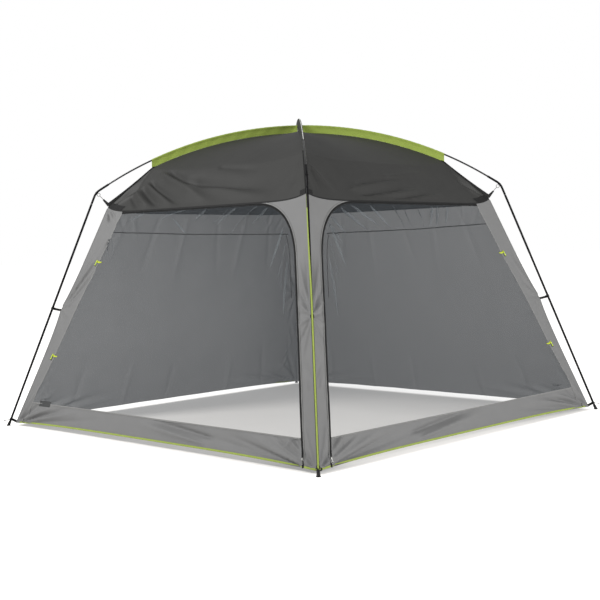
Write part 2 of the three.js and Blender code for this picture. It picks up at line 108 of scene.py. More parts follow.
PLEAT_LOW = 0.60  # no pleats below this height
PLEAT_EDGE = 0.009
PLEAT_WIDTH = 0.42  # half width of a pleat as a share of its fold's width
TOGGLE_SPOTS = [(-0.978, 1.212), (-1.254, 0.527)]  # where the toggles turn, close over the cloth
TOGGLE_CLEAR = 0.055
HINGE_SIDE_SHARE = 0.3  # the narrow panels beside the hinges are nearly smooth at their clips
LEG_TAPE_TOP_Z, LEG_TAPE_LOW_Z = 1.510, 0.037
LEG_TAPE_TURN = -58  # degrees round the leg at the tape's top
LEG_TAPE_SPAN = 33  # half of the arc that the tape covers, in degrees

FLOOR_SIZE = 300.0
FLOOR_DARK, FLOOR_LIGHT = (0.42, 0.405, 0.385, 1), (0.45, 0.435, 0.415, 1)
FLOOR_GLOW = 0.30  # light that the floor under the roof gives off, for what open ground would reflect
FLOOR_NEAR, FLOOR_FAR = 1.50, 1.60  # distance from the centre line where the floor starts and ends its fade
WORLD_LIGHT = 0.55

CORNERS = {"front_right": -45, "back_right": 45, "back_left": 135, "front_left": 225}
HIGH_CORNERS = ("front_right", "back_left")
DOOR_WALLS = ("front", "right")
WALLS = {"front": (0, 1), "right": (90, -1), "back": (180, 1), "left": (270, 1)}  # turn, side of the zip
JOINTS = {joint["name"]: joint for joint in frame["joints"]}
SIDEWAYS = np.array([0, 1.0, 0])  # across a corner, in the corner's own frame


# ---------------------------------------------------------------- shape of the cloth
def half_at(z):
    """Half the width of a wall at a height."""
    return HEM_HALF - (HEM_HALF - ROOF_HALF) * (z - HEM_Z) / (EAVE_Z - HEM_Z)


def eave_z(u):
    share = np.minimum(1, np.abs(u) / ROOF_HALF)
    return EAVE_Z - EAVE_DIP * (1 - share ** EAVE_POWER)


def hem_z(u):
    share = np.minimum(1, np.abs(u) / HEM_HALF)
    return HEM_Z + HEM_RISE * (1 - share ** 4)


def zip_u(z):
    return half_at(z) - ZIP_INSET


def hinge_u(z):
    share = (z - HEM_Z) / (ZIP_TOP_Z - HEM_Z)
    return -(half_at(z) - (HINGE_LOW + (HINGE_HIGH - HINGE_LOW) * share))


def smooth(x):
    x = np.clip(x, 0, 1)
    return x * x * (3 - 2 * x)


def rotate(points, degrees):
    a = math.radians(degrees)
    c, s = math.cos(a), math.sin(a)
    x, y, z = points[..., 0], points[..., 1], points[..., 2]
    return np.stack([c * x - s * y, s * x + c * y, z], -1)


def crease(u, z, start, end, width, depth):
    """A crease from start to end: it opens from a point to its width and fades out at the far end."""
    a, b = np.array(start), np.array(end)
    run = b - a
    length = np.linalg.norm(run)
    run = run / length
    along = ((u - a[0]) * run[0] + (z - a[1]) * run[1]) / length
    across = (u - a[0]) * -run[1] + (z - a[1]) * run[0]
    spread = width * (0.30 + 0.70 * np.clip(along, 0, 1.2))
    rise = smooth((along + 0.04) / 0.16) * smooth((1.15 - along) / 0.60)
    return depth * rise * np.exp(-(np.abs(across) / spread) ** 1.5)


def creases(u, z, rows):
    """Sum of creases given as (start u, start z, end u, end z, width, depth)."""
    total = np.zeros_like(u)
    for u0, z0, u1, z1, width, depth in rows:
        total += crease(u, z, (u0, z0), (u1, z1), width, depth)
    return total


def ripples(u, z, seed, scale, amount):
    """Soft random undulation: a few crossing waves with seeded directions and phases."""
    rng = np.random.default_rng(seed)
    total = np.zeros_like(u)
    for _ in range(9):
        angle = rng.uniform(0, math.pi)
        wave = rng.uniform(0.6, 1.7) / scale
        phase = rng.uniform(0, 2 * math.pi)
        total += np.sin(wave * (u * math.cos(angle) + z * math.sin(angle)) * 2 * math.pi + phase)
    return amount * total / 3.0


def both_sides(rows):
    return rows + [(-u0, z0, -u1, z1, width, depth) for u0, z0, u1, z1, width, depth in rows]


GROUND_CORNER = both_sides([
    (-1.505, 0.026, -1.30, 0.335, 0.020, 0.007), (-1.505, 0.026, -1.22, 0.235, 0.020, -0.008),
    (-1.505, 0.026, -1.13, 0.158, 0.018, 0.011), (-1.500, 0.024, -0.95, 0.165, 0.018, -0.010),
    (-1.490, 0.024, -0.80, 0.150, 0.020, 0.009), (-1.480, 0.022, -0.58, 0.120, 0.018, -0.006),
])
CLIP_FAN = both_sides([
    (-1.236, 0.885, -1.03, 1.230, 0.016, 0.009), (-1.236, 0.885, -1.085, 1.265, 0.012, -0.007),
    (-1.238, 0.880, -1.09, 1.030, 0.014, -0.008), (-1.238, 0.872, -1.10, 0.955, 0.012, 0.007),
    (-1.240, 0.866, -1.11, 0.890, 0.010, -0.005), (-1.243, 0.862, -1.14, 0.790, 0.012, 0.006),
    (-1.246, 0.858, -1.19, 0.690, 0.012, -0.006), (-1.250, 0.850, -1.24, 0.600, 0.012, 0.005),
])
CORNER_SEAM = both_sides([
    (-1.36 + 0.018 * i, 0.50 - 0.055 * i, -1.27 - 0.008 * i, 0.60 - 0.055 * i, 0.011, -0.004 * (-1) ** i)
    for i in range(8)
])
ROOF_CORNER = both_sides([
    (-0.998, 1.600, -0.965, 1.470, 0.010, 0.009), (-0.990, 1.600, -0.935, 1.475, 0.009, -0.009),
    (-0.985, 1.600, -0.910, 1.495, 0.009, 0.008), (-0.975, 1.600, -0.890, 1.520, 0.008, -0.007),
    (-0.900, 1.580, -0.800, 1.400, 0.016, 0.004), (-0.760, 1.575, -0.700, 1.390, 0.018, -0.004),
])
DOOR = [
    (1.400, 0.030, 0.780, 0.145, 0.024, -0.014), (1.400, 0.050, 0.930, 0.165, 0.020, 0.013),
    (1.395, 0.070, 1.120, 0.175, 0.014, -0.009), (1.392, 0.090, 1.230, 0.185, 0.010, 0.007),
    (0.640, 0.110, -0.080, 0.178, 0.026, -0.012), (0.560, 0.072, -0.120, 0.142, 0.028, 0.010),
    (1.330, 0.150, 1.290, 0.420, 0.016, 0.005), (1.310, 0.240, 1.230, 0.560, 0.018, -0.004),
    (0.918, 1.300, 0.960, 1.000, 0.014, 0.006), (0.895, 1.370, 0.900, 1.080, 0.014, -0.006),
    (0.955, 1.200, 1.010, 0.860, 0.016, -0.004), (0.870, 1.400, 0.820, 1.150, 0.020, 0.004),
]
FRONT = [
    (-0.020, 1.562, -0.360, 1.495, 0.015, 0.008), (0.124, 1.560, 0.010, 1.470, 0.013, 0.009),
    (0.246, 1.560, 0.105, 1.460, 0.013, 0.009), (0.420, 1.556, 0.240, 1.440, 0.013, 0.008),
    (0.605, 1.550, 0.380, 1.360, 0.016, 0.010), (0.700, 1.535, 0.580, 1.430, 0.011, 0.008),
    (0.770, 1.515, 0.690, 1.430, 0.010, 0.007), (0.330, 1.556, 0.190, 1.450, 0.012, -0.005),
    (-0.224, 1.500, -0.055, 1.390, 0.014, -0.006), (-0.520, 1.555, -0.700, 1.500, 0.014, 0.006),
    (-0.908, 1.392, -0.955, 1.260, 0.012, 0.006), (-0.908, 1.392, -0.900, 1.240, 0.010, -0.006),
    (-0.905, 1.392, -0.865, 1.245, 0.012, 0.007), (-0.905, 1.392, -0.810, 1.255, 0.014, -0.006),
    (-1.228, 0.895, -0.945, 1.345, 0.010, 0.007), (-1.222, 0.895, -0.915, 1.320, 0.009, -0.006),
    (-1.212, 0.890, -0.900, 1.270, 0.009, 0.006), (-1.204, 0.880, -0.975, 1.130, 0.010, -0.005),
    (-1.214, 0.860, -1.010, 1.050, 0.009, 0.004), (-1.236, 0.900, -1.010, 1.330, 0.009, -0.005),
]
RIGHT = [
    (0.720, 1.525, 0.490, 1.370, 0.015, -0.010), (0.620, 1.540, 0.380, 1.400, 0.013, 0.008),
    (0.880, 1.440, 0.790, 1.300, 0.014, -0.009), (0.850, 1.470, 0.740, 1.350, 0.012, 0.008),
    (0.200, 1.545, 0.130, 1.375, 0.014, 0.010), (0.060, 1.548, 0.010, 1.390, 0.014, -0.008),
    (-0.060, 1.548, -0.100, 1.400, 0.013, 0.008), (-0.250, 1.548, -0.165, 1.395, 0.014, 0.011),
    (-0.330, 1.550, -0.260, 1.400, 0.013, -0.009), (-0.434, 1.550, -0.350, 1.410, 0.012, 0.009),
    (0.420, 1.540, 0.260, 1.390, 0.014, -0.006),
]
SOLID = [
    (-0.71, 1.56, -0.83, 1.05, 0.034, 0.0032), (-0.44, 1.56, -0.40, 1.00, 0.036, -0.0028),
    (-0.12, 1.56, -0.20, 1.10, 0.034, 0.0028), (0.20, 1.56, 0.26, 1.00, 0.036, -0.0028),
    (0.49, 1.56, 0.60, 1.08, 0.034, 0.0032), (0.80, 1.56, 0.93, 1.20, 0.030, -0.0028),
    (-1.05, 0.04, -0.95, 0.42, 0.034, 0.0032), (-0.60, 0.04, -0.58, 0.36, 0.036, -0.0032),
    (0.10, 0.04, 0.06, 0.40, 0.036, 0.0028), (0.55, 0.04, 0.50, 0.44, 0.036, -0.0028),
    (1.05, 0.04, 0.96, 0.46, 0.034, 0.0032),
]
WALL_FOLDS = {"front": DOOR + FRONT + [row for row in ROOF_CORNER if row[0] < 0], "right": DOOR + RIGHT}


def drape(wall, u, z):
    """How far a wall's cloth stands out from its flat plane, towards the outside."""
    half = half_at(z)
    share = np.clip(np.abs(u) / half, 0, 1)
    height = np.clip((z - HEM_Z) / (EAVE_Z - HEM_Z), 0, 1)
    belly = -0.012 * (1 - share ** 2) * np.sin(math.pi * height)
    total = belly + ripples(u, z, len(wall), 0.55, 0.0016)
    seam = CLIP_FAN + CORNER_SEAM
    if wall in DOOR_WALLS:
        calm = [row[:5] + (row[5] * HINGE_SIDE_SHARE,) for row in seam if row[0] < 0]
        seam = [row for row in seam if row[0] > 0] + calm
    total += FOLD_DEPTH * creases(u, z, GROUND_CORNER + seam + WALL_FOLDS.get(wall, SOLID + ROOF_CORNER))
    held = smooth((half - np.abs(u)) / 0.035) * smooth((eave_z(u) - z + 0.004) / 0.035)
    if wall in DOOR_WALLS:
        held = held * (0.12 + 0.88 * smooth(zip_distance(u, z) / 0.045))
        for toggle_u, toggle_z in TOGGLE_SPOTS:
            near = np.exp(-(np.hypot(u - toggle_u, z - toggle_z) / TOGGLE_CLEAR) ** 4)
            total = total - near * np.maximum(total, 0)
    return total * held


def zip_distance(u, z):
    """Distance of each point from the zip's centre line, in (u, z)."""
    line = zip_line(24)[::3]
    near = np.full(np.shape(u), 9.0)
    for point, after in zip(line[:-1], line[1:]):
        run = after - point
        share = np.clip(((u - point[0]) * run[0] + (z - point[1]) * run[1]) / (run @ run), 0, 1)
        near = np.minimum(near, np.hypot(u - point[0] - share * run[0], z - point[1] - share * run[1]))
    return near


def clip_pull(u, z):
    """Outward draw of the cloth by the clip half way up each corner seam."""
    away = (half_at(z) - np.abs(u)) / 0.16
    peak = np.exp(-np.abs(z - CLIP_Z) / 0.15) * (1 - 0.35 * np.exp(-((z - CLIP_Z) / 0.012) ** 2))
    return CLIP_PULL / math.sqrt(2) * peak * np.exp(-np.maximum(0, away))


def wall_points(wall, u, z, out=0.0):
    """Points of a wall's cloth in the row frame. u grows towards the zip side of a door wall."""
    degrees, side = WALLS[wall]
    u, z = np.asarray(u, float), np.asarray(z, float)
    n = out + drape(wall, u, z)
    pull = clip_pull(u, z)
    x = side * (u + np.sign(u) * pull * smooth(np.abs(u) / 0.3))
    y = -half_at(z) - n * math.cos(LEAN) - pull
    return rotate(np.stack([x, y, z + n * math.sin(LEAN)], -1), degrees)


def zip_line(steps=40):
    """The zip's centre line as (u, z) points: beside the corner, over the arch, under the eave."""
    turn = np.array([zip_u(ZIP_TURN_Z), ZIP_TURN_Z])
    corner = np.array([zip_u(ZIP_TOP_Z), ZIP_TOP_Z])
    end = np.array([ZIP_ARCH_END, ZIP_TOP_Z])
    start = np.array([zip_u(HEM_Z), HEM_Z + 0.004])
    straight = [start + (turn - start) * t for t in np.linspace(0, 1, 60)]
    t = np.linspace(0, 1, steps + 1)[1:, None]
    arch = (1 - t) ** 2 * turn + 2 * t * (1 - t) * corner + t ** 2 * end
    last = np.array([hinge_u(ZIP_TOP_Z) + 0.004, ZIP_TOP_Z])
    top = [end + (last - end) * t for t in np.linspace(0, 1, 70)[1:]]
    return np.array(straight + list(arch) + top)


def offset_line(line, distance):
    """A (u, z) line moved sideways in the wall's plane, to its right where distance is positive."""
    run = np.gradient(line, axis=0)
    run[:, 1] /= math.cos(LEAN)
    run /= np.linalg.norm(run, axis=1)[:, None]
    return line + distance * np.stack([run[:, 1], -run[:, 0] * math.cos(LEAN)], 1)


# ---------------------------------------------------------------- materials
def srgb(r, g, b):
    def linear(c):
        c = c / 255
        return c / 12.92 if c <= 0.04045 else ((c + 0.055) / 1.055) ** 2.4
    return (linear(r), linear(g), linear(b), 1)


class Nodes:
    """Short names for building a material's nodes."""

    def __init__(self, name):
        self.material = bpy.data.materials.new(name)
        self.material.use_nodes = True
        self.tree = self.material.node_tree
        self.shader = self.tree.nodes["Principled BSDF"]

    def new(self, kind, **values):
        node = self.tree.nodes.new(kind)
        for key, value in values.items():
            if hasattr(node, key) and key not in node.inputs:
                setattr(node, key, value)
            else:
                node.inputs[key.replace("_", " ")].default_value = value
        return node

    def link(self, a, out, b, into):
        self.tree.links.new(a.outputs[out], b.inputs[into])

    def noise(self, source, output, **values):
        node = self.new("ShaderNodeTexNoise", **values)
        self.link(source, output, node, "Vector")
        return node

    def mottled(self, factor, color, spread, low, high):
        """Colour that runs from a little darker to a little lighter than the given one."""
        node = self.new("ShaderNodeValToRGB")
        for end, position, share in zip(node.color_ramp.elements, (low, high), (1 - spread, 1 + spread)):
            end.position = position
            end.color = tuple(min(1, c * share) for c in color[:3]) + (1,)
        self.link(factor, "Fac", node, "Fac")
        return node

    def roughness(self, factor, low, high):
        node = self.new("ShaderNodeMapRange", To_Min=low, To_Max=high)
        self.link(factor, "Fac", node, "Value")
        self.link(node, "Result", self.shader, "Roughness")

    def relief(self, height, output, strength, distance):
        node = self.new("ShaderNodeBump", Strength=strength, Distance=distance)
        self.link(height, output, node, "Height")
        self.link(node, "Normal", self.shader, "Normal")


def woven(name, color, roughness=0.8, thread=0.0016, bump=0.25, blotch=0.10, alpha=1.0, slubs=1.0):
    """Plain-woven cloth: crossing threads as bump, faint mottling in colour."""
    n = Nodes(name)
    uv = n.new("ShaderNodeUVMap", uv_map="cloth")
    waves = []
    for axis in ("X", "Y"):
        wave = n.new("ShaderNodeTexWave", wave_type="BANDS", bands_direction=axis,
                     Scale=math.pi / thread / 20, Distortion=0.6, Detail=1.0)
        n.link(uv, "UV", wave, "Vector")
        waves.append(wave)
    weave = n.new("ShaderNodeMath", operation="MAXIMUM")
    n.link(waves[0], "Fac", weave, 0)
    n.link(waves[1], "Fac", weave, 1)
    mottle = n.noise(uv, "UV", Scale=9.0, Detail=6.0, Roughness=0.6)
    slub = n.noise(uv, "UV", Scale=260.0, Detail=3.0, Roughness=0.7)
    ramp = n.mottled(mottle, color, blotch, 0.3, 0.7)
    thread_mix = n.new("ShaderNodeMix", data_type="RGBA", blend_type="MULTIPLY")
    thread_mix.inputs["Factor"].default_value = 0.12
    n.tree.links.new(ramp.outputs["Color"], thread_mix.inputs["A"])
    n.tree.links.new(weave.outputs[0], thread_mix.inputs["B"])
    n.tree.links.new(thread_mix.outputs["Result"], n.shader.inputs["Base Color"])
    n.roughness(slub, roughness - 0.08, min(1, roughness + 0.08))
    height = n.new("ShaderNodeMath", operation="MULTIPLY_ADD")
    n.link(slub, "Fac", height, 0)
    height.inputs[1].default_value = slubs
    n.link(weave, 0, height, 2)
    n.relief(height, 0, bump, thread / 3)
    n.shader.inputs["Specular IOR Level"].default_value = 0.2
    n.shader.inputs["Alpha"].default_value = alpha
    return n.material


def coated(name, color, roughness=0.4, metallic=0.0, grain=900.0, bump=0.15, gloss=0.5):
    """Powder coat, moulded nylon or bare wire: fine grain, slightly uneven roughness and colour."""
    n = Nodes(name)
    local = n.new("ShaderNodeTexCoord")
    speck = n.noise(local, "Object", Scale=grain, Detail=4.0, Roughness=0.6)
    smear = n.noise(local, "Object", Scale=26.0, Detail=4.0, Roughness=0.55)
    n.link(n.mottled(smear, color, 0.12, 0.35, 0.7), "Color", n.shader, "Base Color")
    n.roughness(smear, max(0.05, roughness - 0.1), roughness + 0.1)
    n.relief(speck, "Fac", bump, 0.0003)
    n.shader.inputs["Metallic"].default_value = metallic
    n.shader.inputs["Specular IOR Level"].default_value = gloss
    return n.material


CHARCOAL = woven("charcoal_cloth", srgb(37, 37, 36), 0.60, bump=0.12, blotch=0.06)
GREY = woven("grey_cloth", srgb(89, 89, 89), 0.66, bump=0.10, blotch=0.03)
GREEN = woven("green_cloth", srgb(104, 118, 48), 0.72, blotch=0.04)
GREEN_TAPE = woven("green_tape", srgb(112, 124, 56), 0.8, thread=0.0024, bump=0.5, blotch=0.05)
NET = {"thread": 0.0014, "bump": 0.03, "blotch": 0.02, "slubs": 0.0}
MESH = woven("mesh_cloth", srgb(58, 63, 68), alpha=0.27, **NET)
# Doubled net for the pleats: denser than the screen, and lighter in colour as a painted highlight along the
# folds.
HIGHLIT_PLEAT = woven("mesh_pleat_painted_highlight", srgb(84, 89, 92), alpha=0.44, **NET)
# Dark tape for the seam across the screen, and for the thin line beside the zip, which is painted shade along
# a fold.
SEAM_AND_FOLD_SHADE = woven("seam_and_fold_shade_tape", srgb(30, 32, 33), 0.8, thread=0.0020, bump=0.4, blotch=0.04)
LIME_TAPE = woven("lime_tape", srgb(140, 150, 40), 0.8, thread=0.0020, bump=0.3, blotch=0.05)
GREY_TAPE = woven("grey_tape", srgb(100, 100, 99), 0.8, thread=0.0024, bump=0.5, blotch=0.04)
WEBBING = woven("black_webbing", srgb(14, 14, 14), 0.7, thread=0.0030, bump=0.9, blotch=0.08)
THREAD = woven("stitch_thread", srgb(70, 70, 69), 0.6, thread=0.0008, bump=0.5, blotch=0.05)
STEEL = coated("black_powder_coat", srgb(7, 7, 8), 0.40, gloss=0.07)
FIBRE = coated("glass_fibre", srgb(9, 9, 10), 0.24, grain=500.0, bump=0.08, gloss=0.45)
NYLON = coated("black_nylon", srgb(12, 12, 13), 0.5, gloss=0.15)
LIME = coated("lime_nylon", srgb(150, 168, 44), 0.5, gloss=0.3)
RING = coated("bare_ring", srgb(104, 104, 102), 0.4, gloss=0.3)
PALE = coated("pale_nylon", srgb(72, 72, 71), 0.4, gloss=0.3)
WIRE = coated("zinc_wire", srgb(168, 168, 165), 0.3, metallic=0.9, grain=700.0)
# Pale cord for the crest of the dark sleeves: a painted highlight, not a real piping.
PAINTED_GLINT = woven("painted_glint_cord", srgb(176, 176, 173), 0.5, thread=0.0010, bump=0.3, blotch=0.05)
LABEL = woven("label_cloth", srgb(46, 47, 47), 0.7, thread=0.0012, bump=0.4, blotch=0.08)


# ---------------------------------------------------------------- meshes
def make_mesh(name, verts, faces, material, uv=None, smooth_faces=True):
    uv = np.zeros((len(verts), 2)) if uv is None else np.asarray(uv, float)
    mesh = bpy.data.meshes.new(name)
    mesh.from_pydata([tuple(v) for v in np.asarray(verts, float)], [], [tuple(f) for f in faces])
    mesh.validate()
    piece = bpy.data.objects.new(name, mesh)
    scene.collection.objects.link(piece)
    mesh.materials.append(material)
    layer = mesh.uv_layers.new(name="cloth")
    index = np.empty(len(mesh.loops), int)
    mesh.loops.foreach_get("vertex_index", index)
    layer.data.foreach_set("uv", uv[index].ravel())
    mesh.polygons.foreach_set("use_smooth", [smooth_faces] * len(mesh.polygons))
    mesh.update()
    return piece


def place(piece, body, replaces=()):
    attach(piece, body)
    if replaces:
        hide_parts(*replaces)
    return piece


def tube_faces(rings, count):
    """Faces between successive rings of count points each."""
    faces = []
    for i in range(rings - 1):
        for j in range(count):
            a, b = i * count + j, i * count + (j + 1) % count
            faces.append((a, b, b + count, a + count))
    return faces


def grid_piece(name, points, material, uv=None):
    """A cloth sheet from a grid of points."""
    rows, columns = points.shape[:2]
    starts = [i * columns + j for i in range(rows - 1) for j in range(columns - 1)]
    faces = [(a, a + 1, a + columns + 1, a + columns) for a in starts]
    if uv is None:
        steps_u = np.linalg.norm(np.diff(points, axis=1), axis=2).mean(0)
        steps_v = np.linalg.norm(np.diff(points, axis=0), axis=2).mean(1)
        u = np.concatenate([[0], np.cumsum(steps_u)])
        v = np.concatenate([[0], np.cumsum(steps_v)])
        uv = np.stack(np.meshgrid(u, v), -1)
    return make_mesh(name, points.reshape(-1, 3), faces, material, uv.reshape(-1, 2))


def sweep(name, path, section, material, side):
    """A closed section of (across, out) points along a path. side gives the out direction at each point."""
    path = np.asarray(path, float)
    section = np.asarray(section, float)
    run = np.gradient(path, axis=0)
    run /= np.linalg.norm(run, axis=1)[:, None]
    side = side - (side * run).sum(1)[:, None] * run
    side /= np.linalg.norm(side, axis=1)[:, None]
    across = np.cross(run, side)
    if section.ndim == 2:
        section = np.tile(section, (len(path), 1, 1))
    rings = path[:, None] + section[..., 0:1] * across[:, None] + section[..., 1:2] * side[:, None]
    count = rings.shape[1]
    faces = tube_faces(len(path), count)
    faces.append(tuple(reversed(range(count))))
    faces.append(tuple(range((len(path) - 1) * count, len(path) * count)))
    length = np.concatenate([[0], np.cumsum(np.linalg.norm(np.diff(path, axis=0), axis=1))])
    girth = np.linalg.norm(np.diff(section[0], axis=0), axis=1)
    girth = np.concatenate([[0], np.cumsum(girth)])
    uv = np.stack(np.meshgrid(girth, length), -1)
    return make_mesh(name, rings.reshape(-1, 3), faces, material, uv.reshape(-1, 2))


def circle(radius, sides=20):
    a = np.linspace(0, 2 * math.pi, sides, endpoint=False)
    return np.stack([radius * np.cos(a), radius * np.sin(a)], 1)


def rounded(width, height, r=None):
    """Outline of a flat tape or strap, with rounded edges."""
    sides = 3
    r = min(width, height) / 2 * 0.9 if r is None else r
    points = []
    for cx, cy, start in ((1, 1, 0), (-1, 1, 90), (-1, -1, 180), (1, -1, 270)):
        for i in range(sides + 1):
            a = math.radians(start + 90 * i / sides)
            points.append((cx * (width / 2 - r) + r * math.cos(a), cy * (height / 2 - r) + r * math.sin(a)))
    return np.array(points)


def turned(name, path, radii, material, sides=20):
    """A round tube or bar along a path whose radius changes from point to point."""
    section = np.array([circle(r, sides) for r in radii])
    return sweep(name, path, section, material, side=frame_side(path))


def frame_side(path):
    """A steady sideways direction for a path."""
    path = np.asarray(path, float)
    run = np.gradient(path, axis=0)
    run /= np.linalg.norm(run, axis=1)[:, None]
    start = np.array([0, 0, 1.0]) if abs(run[0][2]) < 0.9 else np.array([1.0, 0, 0])
    sides = []
    for t in run:
        start = start - t * (start @ t)
        start /= np.linalg.norm(start)
        sides.append(start)
    return np.array(sides)


def join_pieces(name, pieces):
    """Several meshes as one object, keeping each one's material."""
    with bpy.context.temp_override(active_object=pieces[0], object=pieces[0],
                                   selected_objects=pieces, selected_editable_objects=pieces):
        bpy.ops.object.join()
    pieces[0].name = name
    pieces[0].data.name = name
    return pieces[0]


def cut_sheet(name, wall, outline, spacing, material):
    """A wall's cloth inside an outline of (u, z) points, as an evenly meshed sheet."""
    ring = []
    outline = np.asarray(outline, float)
    for a, b in zip(outline, np.roll(outline, -1, 0)):
        steps = max(1, int(round(np.linalg.norm(b - a) / spacing)))
        ring += [a + (b - a) * i / steps for i in range(steps)]
    ring = np.array(ring)
    low, high = ring.min(0), ring.max(0)
    columns = np.arange(low[0], high[0], spacing)
    rows = np.arange(low[1], high[1], spacing * 0.95)
    inner = np.array([(u + (spacing / 2 if i % 2 else 0), z) for i, z in enumerate(rows) for u in columns])
    inner = inner[inside(inner, ring, spacing * 0.45)]
    points = [Vector(p) for p in np.concatenate([ring, inner])]
    count = len(ring)
    edges = [(i, (i + 1) % count) for i in range(count)]
    verts, _, faces, *_ = delaunay_2d_cdt(points, edges, [list(range(count))], 1, 1e-6)
    flat = np.array([tuple(v) for v in verts])
    world = wall_points(wall, flat[:, 0], flat[:, 1])
    uv = np.stack([flat[:, 0], flat[:, 1] / math.cos(LEAN)], 1)
    return make_mesh(name, world, faces if WALLS[wall][1] > 0 else [f[::-1] for f in faces], material, uv)


def inside(points, ring, margin):
    """Which points lie inside a closed outline and at least margin from its edge."""
    x, y = points[:, 0], points[:, 1]
    hit = np.zeros(len(points), bool)
    near = np.full(len(points), 1e9)
    for a, b in zip(ring, np.roll(ring, -1, 0)):
        crosses = (a[1] > y) != (b[1] > y)
        at = a[0] + (y - a[1]) * (b[0] - a[0]) / (b[1] - a[1] if b[1] != a[1] else 1e-12)
        hit ^= crosses & (x < at)
        run = b - a
        t = np.clip(((points - a) @ run) / max(run @ run, 1e-12), 0, 1)
        near = np.minimum(near, np.linalg.norm(points - a - t[:, None] * run, axis=1))
    return hit & (near > margin)


def polygon_area(outline):
    """Flat area of a (u, z) outline, measured in the leaning plane."""
    p = np.asarray(outline, float).copy()
    p[:, 1] /= math.cos(LEAN)
    q = np.roll(p, -1, 0)
    return abs((p[:, 0] * q[:, 1] - q[:, 0] * p[:, 1]).sum()) / 2


LEAST_FILL, SLANTED_FILL = 0.31, 0.5  # a slanted strip's box is mostly empty, so its width is worked out


def declare(outline):
    """Works out the width of a wall panel cut to its outline; the result is not used."""
    p = np.asarray(outline, float)
    width = p[:, 0].max() - p[:, 0].min()
    length = (p[:, 1].max() - p[:, 1].min()) / math.cos(LEAN)
    area = polygon_area(outline)
    if area < LEAST_FILL * width * length:
        width = area / length / SLANTED_FILL


# ---------------------------------------------------------------- outlines of the panels
def edge_u(z):
    return half_at(z) - EDGE


def arch_panel_outline():
    line = offset_line(zip_line(), LEAF_EDGE)
    keep = [p for p in line if p[0] > ZIP_ARCH_END and p[1] < eave_z(p[0]) - 0.001]
    top = [(u, eave_z(u)) for u in np.linspace(keep[-1][0], ROOF_HALF - EDGE, 14)]
    right = [(edge_u(z), z) for z in np.linspace(EAVE_Z, HEM_Z, 40)[1:]]
    low = [(u, hem_z(u)) for u in np.linspace(edge_u(HEM_Z), keep[0][0], 5)[1:]]
    return [tuple(p) for p in keep] + top[1:] + right + low


def hinge_panel_outline():
    top = [(u, eave_z(u)) for u in np.linspace(-ROOF_HALF + EDGE, hinge_u(1.566), 9)]
    right = [(hinge_u(z), z) for z in np.linspace(1.566, HEM_Z + 0.008, 30)[1:]]
    low = [(u, hem_z(u)) for u in np.linspace(right[-1][0], -edge_u(HEM_Z), 5)[1:]]
    left = [(-edge_u(z), z) for z in np.linspace(HEM_Z, EAVE_Z, 40)[1:-1]]
    return top + right + low + left


def door_edge():
    return offset_line(zip_line(), -LEAF_EDGE)


def mesh_outline():
    line = door_edge()
    start = SKIRT_TOP_Z
    rising = [tuple(p) for p in line if p[1] > start + 0.005]
    first = (zip_u(start) - LEAF_EDGE / math.cos(LEAN), start)
    last = (hinge_u(rising[-1][1]), rising[-1][1])
    left = [(hinge_u(z), z) for z in np.linspace(last[1], start, 40)]
    return [first] + rising[:-1] + left


def skirt_outline():
    line = door_edge()
    right = [tuple(p) for p in line if hem_z(p[0]) < p[1] < SKIRT_TOP_Z - 0.004]
    top_u = zip_u(SKIRT_TOP_Z) - LEAF_EDGE / math.cos(LEAN)
    top = [(top_u, SKIRT_TOP_Z), (hinge_u(SKIRT_TOP_Z), SKIRT_TOP_Z)]
    low_left = hinge_u(HEM_Z + 0.003)
    low = [(u, hem_z(u)) for u in np.linspace(low_left, right[0][0], 40)]
    return right[1:] + top + low


def solid_outline():
    low = [(u, hem_z(u)) for u in np.linspace(-edge_u(HEM_Z), edge_u(HEM_Z), 40)]
    right = [(edge_u(z), z) for z in np.linspace(HEM_Z, EAVE_Z, 40)[1:-1]]
    top = [(u, eave_z(u)) for u in np.linspace(ROOF_HALF - EDGE, -ROOF_HALF + EDGE, 40)]
    left = [(-edge_u(z), z) for z in np.linspace(EAVE_Z, HEM_Z, 40)[1:-1]]
    return low + right + top + left


# ---------------------------------------------------------------- tapes, seams and stitches on a wall
def wall_normal(wall):
    degrees, _ = WALLS[wall]
    return rotate(np.array([[0, -math.cos(LEAN), math.sin(LEAN)]]), degrees)[0]


def resample(line, spacing):
    line = np.asarray(line, float)
    steps = np.linalg.norm(np.diff(line, axis=0), axis=1)
    s = np.concatenate([[0], np.cumsum(steps)])
    count = max(2, int(s[-1] / spacing))
    t = np.linspace(0, s[-1], count + 1)
    return np.stack([np.interp(t, s, line[:, i]) for i in range(line.shape[1])], 1)


def wall_tape(name, wall, line, width, thick, material, out=TAPE_OUT, spacing=0.02):
    """A flat tape sewn on along a (u, z) line."""
    line = resample(line, spacing)
    path = wall_points(wall, line[:, 0], line[:, 1], out)
    side = np.tile(wall_normal(wall), (len(path), 1))
    return sweep(name, path, rounded(width, thick), material, side=side)


def stitches(name, wall, line, material, out, length=0.006, gap=0.004):
    """A row of raised thread stitches along a (u, z) line."""
    line = resample(line, length + gap)
    path = wall_points(wall, line[:, 0], line[:, 1], out)
    normal = wall_normal(wall)
    verts, faces = [], []
    for a, b in zip(path[:-1], path[1:]):
        run = (b - a) * length / (length + gap)
        across = np.cross(run / np.linalg.norm(run), normal) * 0.0006
        lift = normal * 0.0006
        base = len(verts)
        verts += [a - across, a + across, a + run + across, a + run - across]
        verts += [a + run * 0.25 + lift, a + run * 0.75 + lift]
        faces += [(base, base + 1, base + 4), (base + 1, base + 2, base + 5, base + 4)]
        faces += [(base + 2, base + 3, base + 5), (base + 3, base, base + 4, base + 5)]
        faces += [(base, base + 3, base + 2, base + 1)]
    return make_mesh(name, verts, faces, material)


COIL_PITCH, COIL_HALF, COIL_THICK = 0.005, 0.0028, 0.0019


